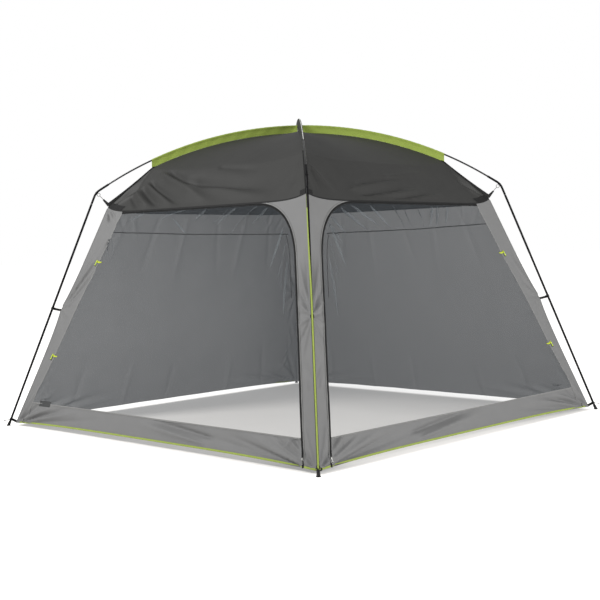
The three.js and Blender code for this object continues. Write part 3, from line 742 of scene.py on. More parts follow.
def zip_coil(name, wall, line, out):
    """The zip's closed coil: a run of small bevelled teeth across the centre line."""
    line = resample(line, COIL_PITCH)
    path = wall_points(wall, line[:, 0], line[:, 1], out)
    normal = wall_normal(wall)
    verts, faces = [], []
    for i, (a, b) in enumerate(zip(path[:-1], path[1:])):
        run = (b - a) * 0.36
        across = np.cross(run / np.linalg.norm(run), normal) * COIL_HALF
        shift = across * (0.35 if i % 2 else -0.35)
        mid = (a + b) / 2 + shift
        lift = normal * COIL_THICK
        base = len(verts)
        verts += [mid - run - across, mid + run - across, mid + run + across, mid - run + across]
        verts += [v + lift - 0.35 * (v - mid) for v in verts[base:base + 4]]
        faces += [(base, base + 1, base + 5, base + 4), (base + 1, base + 2, base + 6, base + 5)]
        faces += [(base + 2, base + 3, base + 7, base + 6), (base + 3, base, base + 4, base + 7)]
        faces += [(base + 4, base + 5, base + 6, base + 7), (base + 3, base + 2, base + 1, base)]
    return make_mesh(name, verts, faces, NYLON)


# ---------------------------------------------------------------- walls
def door_blend(piece, wall):
    """Bakes a door piece's placement into its mesh; the door's swing joint is looked up but not used."""
    joint = JOINTS[f"{wall}_door_swing"]
    start = Vector(joint["pos_m"])
    away = Vector(wall_points(wall, np.array([1.0]), np.array([0.5]))[0]) - start
    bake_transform(piece)


def door_piece(piece, wall, replaces=()):
    door_blend(piece, wall)
    if replaces:
        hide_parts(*replaces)
    return piece


def build_door_wall(wall):
    arch = arch_panel_outline()
    panel = place(cut_sheet(f"{wall}_corner_cloth", wall, arch, FINE, GREY), "root",
                  [f"{wall}_arch_panel"])
    declare(arch)
    strip = hinge_panel_outline()
    panel = place(cut_sheet(f"{wall}_hinge_cloth", wall, strip, FINE, GREY), "root",
                  [f"{wall}_hinge_panel"])
    declare(strip)

    leaf = mesh_outline()
    mesh = cut_sheet(f"{wall}_screen", wall, leaf, SPACING, MESH)
    pleats = build_pleats(wall, leaf)
    declare(leaf)
    door_piece(mesh, wall, [f"{wall}_door_mesh"])
    skirt = skirt_outline()
    cloth = cut_sheet(f"{wall}_skirt", wall, skirt, FINE, GREY)
    declare(skirt)
    door_piece(cloth, wall, [f"{wall}_door_skirt"])
    build_door_trim(wall)
    build_zip(wall)


def build_pleats(wall, leaf):
    """Narrow pleats where the screen is gathered: the fine net lies double there, and their lighter colour is
    a painted highlight along each fold.
    """
    rows = [row for row in DOOR + {"front": FRONT, "right": RIGHT}[wall] if min(row[1], row[3]) > PLEAT_LOW]
    ring = np.array(leaf)
    strips = []
    for count, (u0, z0, u1, z1, width, depth) in enumerate(rows):
        t = np.linspace(0, 1, 28)
        u, z = u0 + (u1 - u0) * t, z0 + (z1 - z0) * t
        t = t[inside(np.stack([u, z], 1), ring, PLEAT_EDGE)]
        if len(t) < 6:
            continue
        t = np.linspace(t[0], t[-1], 24)
        bow = 0.006 * np.sin(math.pi * t) * (1 if count % 2 else -1)
        run = np.array([u1 - u0, z1 - z0]) / math.hypot(u1 - u0, z1 - z0)
        half = PLEAT_WIDTH * width * np.sin(math.pi * np.linspace(0.10, 0.97, len(t))) ** 0.8
        across = np.linspace(-1, 1, 3)[None, :] * half[:, None] + bow[:, None]
        uu = (u0 + (u1 - u0) * t)[:, None] - across * run[1]
        zz = (z0 + (z1 - z0) * t)[:, None] + across * run[0]
        lift = 0.0015 + 0.0015 * (1 - np.abs(np.linspace(-1, 1, 3)))[None, :] * np.ones_like(uu)
        strips.append(grid_piece(f"{wall}_pleat_{count}", wall_points(wall, uu, zz, lift), HIGHLIT_PLEAT))
    return door_piece(join_pieces(f"{wall}_pleats", strips), wall)


def hem_line(start, end, count):
    return [(u, hem_z(u) + HEM_LINE) for u in np.linspace(start, end, count)]


def hem_tape(name, wall, line):
    return wall_tape(name, wall, line, HEM_WIDTH, HEM_THICK, GREEN_TAPE, HEM_OUT)


def hem_stitches(wall, line):
    return stitches(f"{wall}_hem_stitch", wall, [(u, z + HEM_STITCH) for u, z in line], THREAD, 0.0020)


def build_door_trim(wall):
    """Seams across the screen and over the skirt, a thin dark line beside the zip that is painted shade along
    a fold, the hems, and the seam along the hinge.
    """
    seam = [(hinge_u(SEAM_Z_HINGE) + 0.004, SEAM_Z_HINGE), (0.0, 1.383)]
    seam.append((half_at(SEAM_Z_ZIP) - 0.17, SEAM_Z_ZIP))
    low_left, low_right, stitch_z = hinge_u(SKIRT_TOP_Z), zip_u(SKIRT_TOP_Z), SKIRT_TOP_Z - 0.003
    low_seam = [(low_left + 0.004, SKIRT_TOP_Z), (low_right - 0.008, SKIRT_TOP_Z)]
    low_stitch = [(low_left + 0.02, stitch_z), (low_right - 0.012, stitch_z)]
    pieces = [
        wall_tape(f"{wall}_seam", wall, seam, 0.007, 0.0012, SEAM_AND_FOLD_SHADE),
        wall_tape(f"{wall}_skirt_seam", wall, low_seam, 0.010, 0.0012, GREY_TAPE),
        stitches(f"{wall}_skirt_stitch", wall, low_stitch, THREAD, 0.0022),
    ]
    # A thin dark tape beside the zip: painted shade along a fold in the door.
    fold_shade_line = offset_line(zip_line(), -0.045)
    fold_shade_line = np.array([p for p in fold_shade_line if 0.95 < p[1] < SEAM_Z_ZIP])
    pieces.append(wall_tape(f"{wall}_side_seam", wall, fold_shade_line, 0.004, 0.0010, SEAM_AND_FOLD_SHADE))
    hem = hem_line(hinge_u(HEM_Z + 0.004) + 0.004, zip_u(HEM_Z) - 0.006, 60)
    pieces += [hem_tape(f"{wall}_door_hem", wall, hem), hem_stitches(wall, hem)]
    door_piece(join_pieces(f"{wall}_door_trim", pieces), wall)
    hinge = [(hinge_u(z), z) for z in np.linspace(HEM_Z + 0.012, 1.560, 50)]
    seam = wall_tape(f"{wall}_hinge_seam", wall, hinge, 0.007, 0.0016, GREY_TAPE, 0.0010)
    place(seam, "root")
    for name, a, b in (("corner", half_at(HEM_Z) - 0.012, half_at(HEM_Z) - ZIP_INSET + 0.006),
                       ("hinge", -half_at(HEM_Z) + 0.045, hinge_u(HEM_Z + 0.004) - 0.002)):
        place(hem_tape(f"{wall}_{name}_hem", wall, hem_line(a, b, 8)), "root")


def build_zip(wall):
    line = zip_line(60)
    tape = wall_tape(f"{wall}_zip_tape", wall, line, 0.0150, 0.0010, WEBBING, 0.0012, spacing=0.012)
    coil = zip_coil(f"{wall}_zip_coil", wall, line, 0.0018)
    whole = join_pieces(f"{wall}_zip", [tape, coil])
    place(whole, "root", [f"{wall}_zip_track"])
    edge = offset_line(line, 0.0105)
    edge = np.array([p for p in edge if p[0] > ZIP_ARCH_END and p[1] < eave_z(p[0]) - 0.008])
    piping = wall_tape(f"{wall}_zip_piping", wall, edge, 0.006, 0.0022, GREY_TAPE, 0.0006)
    sewn = stitches(f"{wall}_zip_stitch", wall, offset_line(edge, 0.006), THREAD, 0.0010)
    place(join_pieces(f"{wall}_zip_edge", [piping, sewn]), "root")


def build_solid_wall(wall):
    outline = solid_outline()
    panel = cut_sheet(f"{wall}_cloth", wall, outline, COARSE, GREY)
    place(panel, "root", [f"{wall}_wall"])
    declare(outline)
    hem = hem_line(-HEM_HALF + 0.045, HEM_HALF - 0.045, 80)
    sewn = [hem_tape(f"{wall}_hem", wall, hem), hem_stitches(wall, hem)]
    place(join_pieces(f"{wall}_hem_tape", sewn), "root")
    seam = [(-half_at(SKIRT_TOP_Z) + 0.01, SKIRT_TOP_Z), (half_at(SKIRT_TOP_Z) - 0.01, SKIRT_TOP_Z)]
    place(wall_tape(f"{wall}_low_seam", wall, seam, 0.010, 0.0012, GREY_TAPE), "root")


# ---------------------------------------------------------------- corner frame
def corner_points(corner, points):
    """(r, y, z) points in a corner's own frame, turned into the row frame."""
    return rotate(np.asarray(points, float), CORNERS[corner])


class Arch:
    """Centre line of one arch pole: a circle, then a straight run into its elbow."""

    def __init__(self, peak):
        self.peak = peak
        self.angle = 2 * math.atan((peak - ELBOW_Z) / (ELBOW_R + ARCH_TANGENT))
        self.radius = (ELBOW_R - ARCH_TANGENT * math.cos(self.angle)) / math.sin(self.angle)
        self.inward = np.array([-math.cos(self.angle), 0, math.sin(self.angle)])

    def at(self, theta):
        theta = np.asarray(theta, float)
        r = self.radius * np.sin(theta)
        z = self.peak - self.radius * (1 - np.cos(theta))
        return np.stack([r, np.zeros_like(r), z], -1)

    def height(self, r):
        return self.peak - self.radius * (1 - np.sqrt(1 - (np.asarray(r) / self.radius) ** 2))


LOW, HIGH = Arch(LOW_PEAK), Arch(HIGH_PEAK)
ELBOW = np.array([ELBOW_R, 0, ELBOW_Z])
FOOT = np.array([FOOT_R, 0, 0.0])
LEG_DIR = (FOOT - ELBOW) / np.linalg.norm(FOOT - ELBOW)
LEG_LENGTH = float(np.linalg.norm(FOOT - ELBOW))
LEG_TILT = math.atan2(LEG_DIR[0], -LEG_DIR[2])
LEG_SPLIT = 0.990
ELBOW_UP, ELBOW_DOWN, ELBOW_BEND = 0.112, 0.090, 0.034
LEG_OUT = np.array([math.cos(LEG_TILT), 0, math.sin(LEG_TILT)])  # square to the leg, away from the centre
JOINT_GAP = 0.0012  # between one tube's end and the next
HOOK_BORE, HOOK_WALL, HOOK_BACK = 0.0086, 0.0030, 0.0112


def arch_of(corner):
    return HIGH if corner in HIGH_CORNERS else LOW


def on_leg(distance):
    """Point on the leg's axis, this far down from the elbow's corner."""
    return ELBOW + LEG_DIR * distance


def leg_at(z):
    return on_leg((ELBOW_Z - z) / -LEG_DIR[2])


def build_frame(corner):
    arch = arch_of(corner)
    theta = np.linspace(0.0004, arch.angle, 60)
    line = arch.at(theta)
    socket = [line[-1] - arch.inward * d for d in (0.03, 0.07)]
    path = corner_points(corner, np.concatenate([line, socket]))
    pole = turned(f"arch_{corner}", path, [ARCH_R] * len(path), FIBRE, 16)
    place(pole, "root", [f"arch_pole_{corner}"])

    upper = ELBOW + arch.inward * ELBOW_BEND
    lower = on_leg(ELBOW_BEND)
    t = np.linspace(0, 1, 12)[:, None]
    bend = (1 - t) ** 2 * upper + 2 * t * (1 - t) * ELBOW + t ** 2 * lower
    mouth = ELBOW + arch.inward * ELBOW_UP
    up = [mouth + arch.inward * d for d in (0.0003, 0, -0.0015, -0.004)] + [ELBOW + arch.inward * 0.07]
    down = [on_leg(d) for d in (0.060, ELBOW_DOWN - 0.002, ELBOW_DOWN)]
    path = np.concatenate([up, bend, down])
    radii = [0.0063, 0.0074, 0.0080, 0.0080, 0.0080] + [TUBE_R] * (len(bend) + 1) + [0.0079, 0.0074]
    elbow = turned(f"elbow_tube_{corner}", corner_points(corner, path), radii, STEEL, 24)
    place(elbow, "root", [f"elbow_{corner}"])

    for name, top, low in (("upper", ELBOW_DOWN + JOINT_GAP, LEG_LENGTH - LEG_SPLIT),
                           ("lower", LEG_LENGTH - LEG_SPLIT + JOINT_GAP, LEG_LENGTH - 0.034)):
        stops = [top, top + 0.0015, top + 0.012, top + 0.0135, top + 0.016]
        stops += [low - 0.016, low - 0.0135, low - 0.001, low]
        radii = [0.0072, 0.0080, 0.0080, 0.0077, 0.0080, 0.0080, 0.0077, 0.0080, 0.0073]
        path = corner_points(corner, [on_leg(d) for d in stops])
        leg = turned(f"leg_{name}_tube_{corner}", path, radii, STEEL, 24)
        place(leg, "root", [f"leg_{name}_{corner}"])


def ring_points(center, radius, tilt):
    """Points of a ring round the leg, level with the ground where tilt is 0."""
    x, y = circle(radius, 28).T
    return np.stack([x * math.cos(tilt), y, x * math.sin(tilt)], 1) + center


def build_foot(corner):
    """Moulded foot cap with ribs."""
    shoulder = on_leg(LEG_LENGTH - 0.0335)
    rings = [ring_points(np.array([FOOT_R - back, 0, z]), radius, tilt) for back, z, radius, tilt in (
        (0, 0.0, 0.0010, 0), (0, 0.0, 0.0128, 0), (0, 0.0008, 0.0146, 0), (0, 0.0044, 0.0148, 0),
        (0.001, 0.0066, 0.0125, LEG_TILT * 0.2), (0.003, 0.0120, 0.0108, LEG_TILT / 2))]
    for share in np.linspace(0.15, 0.9, 10):
        mid = np.array([FOOT_R - 0.003, 0, 0.012]) * (1 - share) + shoulder * share
        tilt = LEG_TILT * (0.5 + 0.5 * share)
        rib = 0.0009 if int(share * 13) % 2 else 0
        rings.append(ring_points(mid, 0.0101 + rib, tilt))
    rings.append(ring_points(shoulder, 0.0106, LEG_TILT))
    rings.append(ring_points(shoulder + [0, 0, 0.0008], 0.0082, LEG_TILT))
    verts = corner_points(corner, np.concatenate(rings))
    count = len(rings[0])
    faces = tube_faces(len(rings), count) + [tuple(reversed(range(count)))]
    cap = make_mesh(f"foot_{corner}", verts, faces, NYLON)
    place(cap, "root", [f"foot_cap_{corner}"])


def strap(name, corner, points, width, thick, upright=True, end_width=None):
    """Flat webbing along points in the corner's frame; its width runs upright or across the corner."""
    path = resample(smooth_path(points), 0.006)
    side = np.tile(SIDEWAYS, (len(path), 1))
    if not upright:
        run = np.gradient(path, axis=0)
        side = np.cross(run / np.linalg.norm(run, axis=1)[:, None], side)
    widths = np.linspace(width, end_width or width, len(path))
    section = np.array([rounded(w, thick) for w in widths])
    return sweep(name, corner_points(corner, path), section, WEBBING, side=corner_points(corner, side))


def smooth_path(points, steps=8):
    """A smooth curve through the given points."""
    p = np.asarray(points, float)
    p = np.concatenate([[2 * p[0] - p[1]], p, [2 * p[-1] - p[-2]]])
    out = []
    for i in range(1, len(p) - 2):
        a, b, c, d = p[i - 1], p[i], p[i + 1], p[i + 2]
        for t in np.linspace(0, 1, steps, endpoint=False):
            out.append(0.5 * (2 * b + (c - a) * t + (2 * a - 5 * b + 4 * c - d) * t ** 2
                              + (3 * b - a - 3 * c + d) * t ** 3))
    out.append(p[-2])
    return np.array(out)


def c_hook(name, corner, center, height):
    """A snap-on plastic hook round the leg, open on its outer side."""
    bore, wall, mouth = HOOK_BORE, HOOK_WALL, 0.75
    a = np.linspace(mouth, 2 * math.pi - mouth, 26)
    inner = np.stack([bore * np.cos(a), bore * np.sin(a)], 1)
    outer = np.stack([(bore + wall) * np.cos(a), (bore + wall) * np.sin(a)], 1)
    lip = [np.array([math.cos(s) * (bore + wall / 2) + 0.0012, math.sin(s) * (bore + wall / 2) * 1.05])
           for s in (mouth * 0.86, -mouth * 0.86)]
    ring = np.concatenate([outer, [lip[1]], inner[::-1], [lip[0]]])
    half, bevel = height / 2, 0.0012
    levels = [(-half, 0.93), (-half + bevel, 1.0), (half - bevel, 1.0), (half, 0.93)]
    c, s = math.cos(LEG_TILT), math.sin(LEG_TILT)
    mid = bore + wall / 2
    verts = []
    for h, grow in levels:
        radius = np.linalg.norm(ring, axis=1)
        scaled = ring * ((mid + (radius - mid) * grow) / radius)[:, None]
        x, y = scaled[:, 0], scaled[:, 1]
        verts.append(np.stack([x * c - h * s, y, x * s + h * c], 1) + center)
    count, steps = len(ring), len(a)
    faces = tube_faces(len(levels), count)
    for level in (0, len(levels) - 1):
        base = level * count
        for j in range(steps - 1):
            quad = (base + j, base + j + 1, base + 2 * steps - j - 1, base + 2 * steps - j)
            faces.append(quad if level else quad[::-1])
    return make_mesh(name, corner_points(corner, np.concatenate(verts)), faces, NYLON)


def seam_r(z, out=0.0):
    """Distance of a corner seam from the centre, with the clip's pull."""
    return float(half_at(z) + clip_pull(np.array(half_at(z)), np.array(z))) * math.sqrt(2) + out


def build_leg_tape(corner):
    """Green webbing laid down the outer side of one leg, from under the roof to the foot."""
    z = np.linspace(LEG_TAPE_TOP_Z, LEG_TAPE_LOW_Z, 150)
    turn = np.radians(LEG_TAPE_TURN) * smooth((z - CLIP_Z) / (LEG_TAPE_TOP_Z - CLIP_Z))
    span = np.linspace(-LEG_TAPE_SPAN, LEG_TAPE_SPAN, 9)
    axis = np.array([leg_at(h) for h in z])
    rows = []
    for radius, angles in ((TUBE_R + 0.0016, span), (TUBE_R + 0.0002, span[::-1])):
        for offset in angles:
            a = (turn + math.radians(offset))[:, None]
            rows.append(axis + radius * (LEG_OUT * np.cos(a) + SIDEWAYS * np.sin(a)))
    rows.append(rows[0])
    points = corner_points(corner, np.array(rows).transpose(1, 0, 2))
    place(grid_piece(f"leg_tape_{corner}", points, GREEN_TAPE), "root")


def build_clip(corner):
    """Hook half way up the leg and its strap to the corner seam."""
    center = leg_at(CLIP_Z)
    hook = c_hook(f"clip_hook_{corner}", corner, center, 0.017)
    back = center - LEG_OUT * HOOK_BACK
    end = np.array([seam_r(CLIP_Z) - 0.004, 0, CLIP_Z - 0.018])
    mid = (back + end) / 2 + np.array([0, 0, -0.002])
    band = strap(f"clip_strap_{corner}", corner, [back, mid, end], 0.017, 0.0020)
    loop = strap(f"clip_fold_{corner}", corner, [back, (back * 2 + mid) / 3], 0.019, 0.0042)
    place(join_pieces(f"leg_hook_{corner}", [hook, band, loop]), "root", [f"leg_clip_{corner}"])


def build_foot_strap(corner):
    """Hook above the foot, its strap to the wall's lower corner, and the stake loop."""
    center = leg_at(0.050)
    hook = c_hook(f"foot_hook_{corner}", corner, center, 0.015)
    back = center - LEG_OUT * HOOK_BACK
    end = np.array([seam_r(HEM_Z) - 0.006, 0, HEM_Z + 0.010])
    band = strap(f"foot_band_{corner}", corner, [back, (back + end) / 2, end], 0.019, 0.0024)
    loop = [center + LEG_OUT * out + np.array([0, across, drop]) for out, across, drop in (
        (0.006, 0.0105, -0.004), (0.026, 0.018, -0.012), (0.055, 0.012, -0.030), (0.034, 0.004, -0.024),
        (0.010, -0.0105, -0.006))]
    stake_loop = strap(f"stake_loop_{corner}", corner, loop, 0.010, 0.0016, upright=False)
    whole = join_pieces(f"foot_webbing_{corner}", [hook, band, stake_loop])
    place(whole, "root", [f"foot_strap_{corner}"])


def torus(name, corner, center, axis, radius, thick, material, turns=36):
    axis = np.asarray(axis, float) / np.linalg.norm(axis)
    first = np.cross(axis, SIDEWAYS if abs(axis[1]) < 0.9 else [0, 0, 1.0])
    first /= np.linalg.norm(first)
    second = np.cross(axis, first)
    verts, faces, sides = [], [], 10
    for i in range(turns):
        a = 2 * math.pi * i / turns
        out = first * math.cos(a) + second * math.sin(a)
        for j in range(sides):
            b = 2 * math.pi * j / sides
            verts.append(center + out * (radius + thick * math.cos(b)) + axis * thick * math.sin(b))
            p, q = i * sides + j, i * sides + (j + 1) % sides
            n = ((i + 1) % turns) * sides
            faces.append((p, n + j, n + (j + 1) % sides, q))
    return make_mesh(name, corner_points(corner, verts), faces, material)


RING_R = 0.0115


def build_roof_hook(corner):
    """Band round the elbow, ring, thin line and strap that hold up a corner of the roof."""
    arch = arch_of(corner)
    upper = ELBOW + arch.inward * ELBOW_BEND
    bend = ELBOW * 0.5 + upper * 0.25 + on_leg(ELBOW_BEND) * 0.25
    tangent = LEG_DIR - arch.inward
    tangent /= np.linalg.norm(tangent)
    inside_dir = np.array([tangent[2], 0, -tangent[0]])
    band = torus(f"hook_band_{corner}", corner, bend, tangent, TUBE_R + 0.0012, 0.0014, NYLON)
    center = bend + inside_dir * (TUBE_R + 0.0125)
    ring = torus(f"hook_ring_{corner}", corner, center, SIDEWAYS, RING_R, 0.0024, RING)
    end = np.array([ROOF_R - 0.006, 0, EAVE_Z + CORNER_PEAK / 2])
    reach = end - center
    reach /= np.linalg.norm(reach)
    start = center + reach * RING_R
    knot = start * 0.62 + end * 0.38
    line = resample([start, knot + [0, 0, 0.0015]], 0.006)
    cord = turned(f"hook_line_{corner}", corner_points(corner, line), [0.0022] * len(line), PALE, 10)
    web = strap(f"hook_web_{corner}", corner, [knot, (knot + end) / 2, end], 0.012, 0.0024, end_width=0.026)
    whole = join_pieces(f"roof_strap_{corner}", [band, ring, cord, web])
    place(whole, "root", [f"roof_hook_{corner}"])


# ---------------------------------------------------------------- roof
def ridge_z(r):
    """Height of the roof's ridge at a distance from the centre."""
    r = np.asarray(r, float)
    slope = np.arcsin(np.minimum(r, SLEEVE_END_R) / LOW.radius)
    under = LOW.height(np.minimum(r, SLEEVE_END_R)) - RIDGE_DROP / np.cos(slope)
    share = np.clip((r - SLEEVE_END_R) / (ROOF_R - SLEEVE_END_R), 0, 1)
    return under + (EAVE_Z - under) * share


GORE = both_sides([
    (0.800, 0.720, 0.930, 0.980, 0.020, 0.004), (0.860, 0.820, 0.965, 0.985, 0.014, -0.003),
    (0.740, 0.700, 0.840, 0.960, 0.024, -0.003),
]) + [
    (-0.985, 0.990, -0.800, 0.830, 0.014, 0.008), (-0.975, 0.992, -0.760, 0.850, 0.012, -0.007),
    (-0.930, 0.985, -0.800, 0.900, 0.014, 0.005), (0.985, 0.990, 0.860, 0.850, 0.012, 0.002),
]
GORE_FRONT = [
    (-0.620, 0.790, 0.060, 0.970, 0.034, 0.016), (-0.560, 0.770, 0.150, 0.935, 0.030, -0.012),
    (-0.700, 0.835, -0.180, 0.985, 0.028, -0.013), (-0.720, 0.850, -0.260, 0.985, 0.024, 0.012),
    (-0.760, 0.870, -0.400, 0.990, 0.022, -0.012), (-0.790, 0.895, -0.530, 0.990, 0.020, 0.010),
    (-0.820, 0.920, -0.640, 0.992, 0.016, -0.008), (-0.300, 0.820, 0.620, 0.925, 0.050, -0.016),
    (-0.240, 0.870, 0.640, 0.965, 0.044, 0.012), (-0.050, 0.760, 0.400, 0.800, 0.034, -0.007),
]
GORE_RIGHT = [
    (0.560, 0.940, -0.080, 0.870, 0.024, 0.009), (0.480, 0.965, -0.160, 0.905, 0.020, -0.009),
    (0.360, 0.975, -0.260, 0.925, 0.018, 0.009), (0.160, 0.985, -0.420, 0.930, 0.018, -0.008),
    (-0.020, 0.985, -0.480, 0.955, 0.016, 0.008), (0.420, 0.900, -0.240, 0.835, 0.028, -0.007),
    (0.100, 0.850, -0.480, 0.820, 0.030, 0.007), (0.820, 0.800, 0.700, 0.960, 0.030, 0.008),
]


def roof_folds(side, s, share):
    """Folds in a gore. s runs from ridge to ridge, share from the peak to the eave."""
    x, y = s * share, share
    extra = GORE_RIGHT if side in ("right", "left") else GORE_FRONT
    return ripples(x, y, 40 + len(side), 0.5, 0.0014) + FOLD_DEPTH * creases(x, y, GORE + extra)


def gore_surface(side, rr, ss, out=0.0):
    """Points of a gore: rr is the ridge's distance from the centre, ss runs from ridge to ridge."""
    degrees, mirror = WALLS[side]
    share = rr / ROOF_R
    power = 2 + (EAVE_POWER - 2) * share ** 6
    dip = EAVE_DIP * np.minimum(1, share * 1.25) * (1 - np.abs(ss) ** power)
    flare = math.tan(LEAN) * dip * share ** 8
    held = smooth((1 - np.abs(ss)) / 0.05) * smooth(share / 0.15) * (1 - 0.75 * smooth((share - 0.95) / 0.05))
    lift = roof_folds(side, ss * mirror, share) * held + out
    x = ss * rr / math.sqrt(2)
    y = -rr / math.sqrt(2) - flare - lift * 0.45
    z = ridge_z(rr) - dip + lift
    return rotate(np.stack([x, y, z], -1), degrees)


def gore_grid():
    rows, columns = 120, 181
    r = ROOF_R * np.concatenate([[0.0], np.linspace(0.012, 1, rows - 1)])
    s = np.sin(np.linspace(-math.pi / 2, math.pi / 2, columns))
    s = 0.6 * s + 0.4 * np.linspace(-1, 1, columns)
    return np.meshgrid(r, s, indexing="ij")


def build_roof():
    pieces = []
    for side in WALLS:
        rr, ss = gore_grid()
        uv = np.stack([ss * rr / math.sqrt(2), rr], -1)
        pieces.append(grid_piece(f"gore_{side}", gore_surface(side, rr, ss), CHARCOAL, uv))
    canopy = join_pieces("roof_canopy", pieces)
    weld = canopy.modifiers.new("weld", "WELD")
    weld.merge_threshold = 0.0004
    bpy.context.view_layer.objects.active = canopy
    with bpy.context.temp_override(object=canopy, active_object=canopy):
        bpy.ops.object.modifier_apply(modifier="weld")
    place(canopy, "root", [f"roof_{side}" for side in WALLS])
    build_eaves()


def build_eaves():
    """Bound edge under the eave, a reinforcing patch at each roof corner, and the bound ridge at each roof
    corner.
    """
    for wall in WALLS:
        us = np.linspace(-ROOF_HALF + 0.003, ROOF_HALF - 0.003, 120)
        line = [(u, eave_z(u) - 0.0008) for u in us]
        tape = wall_tape(f"{wall}_eave", wall, line, 0.0095, 0.0022, WEBBING, 0.0006, spacing=0.016)
        place(tape, "root")
        for end in (-1, 1):
            r = np.linspace(ROOF_R - 0.036, ROOF_R - 0.001, 6)
            near = (wall, end) in (("front", 1), ("right", -1))
            share = end * np.linspace(0.95 if near else 0.835, 0.999, 16)
            rr, ss = np.meshgrid(r, share, indexing="ij")
            patch = grid_piece(f"{wall}_corner_patch_{'low' if end < 0 else 'high'}",
                               gore_surface(wall, rr, ss, 0.0022), WEBBING)
            place(patch, "root")
    for corner in CORNERS:
        r = np.linspace(SLEEVE_END_R - 0.02, ROOF_R + 0.002, 30)
        lift = CORNER_PEAK * np.clip((r - SLEEVE_END_R) / (ROOF_R - SLEEVE_END_R), 0, 1) ** 2
        path = np.stack([r, np.zeros_like(r), ridge_z(np.minimum(r, ROOF_R)) + 0.0004 + lift / 2], 1)
        side = np.tile(np.array([0.5, 0, 1.0]), (len(r), 1))
        section = np.array([rounded(0.017, 0.0052 + height, 0.0023) for height in lift])
        binding = sweep(f"ridge_binding_{corner}", corner_points(corner, path), section,
                        WEBBING, side=corner_points(corner, side))
        place(binding, "root")


SLEEVE_CLOTH = 0.0009  # half the thickness of a sleeve's flap


def build_sleeve(corner):
    """A cloth sleeve along an arch: a puckered tube round the pole and a flap down to the roof."""
    arch = arch_of(corner)
    high = corner in HIGH_CORNERS
    r = np.linspace(0.0005 if high else 0.004, SLEEVE_END_R, 150)
    theta = np.arcsin(r / arch.radius)
    center = arch.at(theta)
    phase = np.random.default_rng(len(corner)).uniform(0, 6.28, 3)
    pucker = 0.0004 * (np.sin(r * 190 + phase[0]) + 0.6 * np.sin(r * 83 + phase[1]))
    slope = np.stack([np.sin(theta), np.zeros_like(theta), np.cos(theta)], 1)
    bottom = np.stack([r, np.zeros_like(r), ridge_z(r) + 0.0002], 1)
    if high:  # the flap stops above the low arch where the two cross
        clear = LOW.height(0.0) + ARCH_R + 0.004
        near = smooth((r - 0.012) / 0.05)
        bottom[:, 2] = np.where(r < 0.062, clear + (bottom[:, 2] - clear) * near, bottom[:, 2])
    depth = np.linalg.norm(center - bottom, axis=1)
    wave = 0.0012 * np.sin(r * 60 + phase[2])
    right, left = [], []
    for share in np.linspace(1, 0, 22):
        taper = np.exp(-(share * depth[:, None] / 0.013) ** 1.3)
        across = (SLEEVE_CLOTH + (SLEEVE_R - SLEEVE_CLOTH) * taper) * SIDEWAYS
        base = center * (1 - share) + bottom * share
        lean = wave[:, None] * math.sin(math.pi * share) * SIDEWAYS
        right.append(base + across + lean)
        left.append(base - across + lean)
    dome = []
    for a in np.linspace(0, math.pi, 15)[1:-1]:
        radius = (SLEEVE_R + pucker * math.sin(a))[:, None]
        dome.append(center + slope * radius * math.sin(a) + SIDEWAYS * radius * math.cos(a))
    points = corner_points(corner, np.array(right + dome + left[::-1]))
    material, slot = (CHARCOAL, "charcoal_cloth") if high else (GREEN, "green_cloth")
    if high:
        # The pale line along the crest is a painted highlight where light catches the sleeve over its pole.
        crest = corner_points(corner, (center + slope * (SLEEVE_R + GLINT_R * 0.6))[4:])
        cord = turned(f"sleeve_piping_{corner}", crest, [GLINT_R] * len(crest), PAINTED_GLINT, 8)
        place(cord, "root")
    piece = grid_piece(f"pole_sleeve_{corner}", points, material)
    place(piece, "root", [f"sleeve_{corner}"])


# ---------------------------------------------------------------- small parts of the doors
SLIDER_Z = 0.07  # height of a closed zip's slider


def build_slider(wall):
    """Slider body with its wire pull and tag."""
    degrees, side = WALLS[wall]
    high, low = [wall_points(wall, [zip_u(z)], [z])[0] for z in (0.6, SLIDER_Z)]
    up = high - low
    up /= np.linalg.norm(up)
    normal = wall_normal(wall)
    across = np.cross(up, normal)
    flat = rotate(np.array([side * zip_u(SLIDER_Z), -half_at(SLIDER_Z), SLIDER_Z]), degrees)

    def local(points):
        p = np.asarray(points, float)
        return flat + p[:, 0:1] * across + p[:, 1:2] * up + p[:, 2:3] * normal

    outline = [(-0.0036, -0.009), (0.0036, -0.009), (0.0045, -0.004), (0.0043, 0.004), (0.0030, 0.009),
               (-0.0030, 0.009), (-0.0043, 0.004), (-0.0045, -0.004)]
    levels = [(0.0022, 1.0), (0.0045, 1.0), (0.0058, 0.86), (0.0060, 0.5)]
    verts = np.concatenate([local([(x * g, y * g, h) for x, y in outline]) for h, g in levels])
    count = len(outline)
    faces = [tuple(reversed(range(count))), tuple(range(3 * count, 4 * count))] + tube_faces(4, count)
    body = make_mesh(f"{wall}_slider_body", verts, faces, WIRE, smooth_faces=False)
    loop = [(0, -0.002, 0.0072), (0.0028, -0.007, 0.0070), (0.0030, -0.018, 0.0064), (0.0026, -0.030, 0.0060),
            (0, -0.0335, 0.0060)]
    loop += [(-x, y, z) for x, y, z in loop[3::-1]]
    path = local(smooth_path(loop, 5))
    pull = sweep(f"{wall}_slider_pull", path, circle(0.00085, 8), WIRE, side=np.tile(normal, (len(path), 1)))
    tag = sweep(f"{wall}_slider_tag", local([(0, -0.012, 0.0062), (0, -0.020, 0.0060), (0, -0.030, 0.0058)]),
                rounded(0.0052, 0.0012), NYLON, side=np.tile(normal, (3, 1)))
    whole = join_pieces(f"{wall}_slider", [body, pull, tag])
    place(whole, f"{wall}_zip_slider", [f"{wall}_zip_slider"])


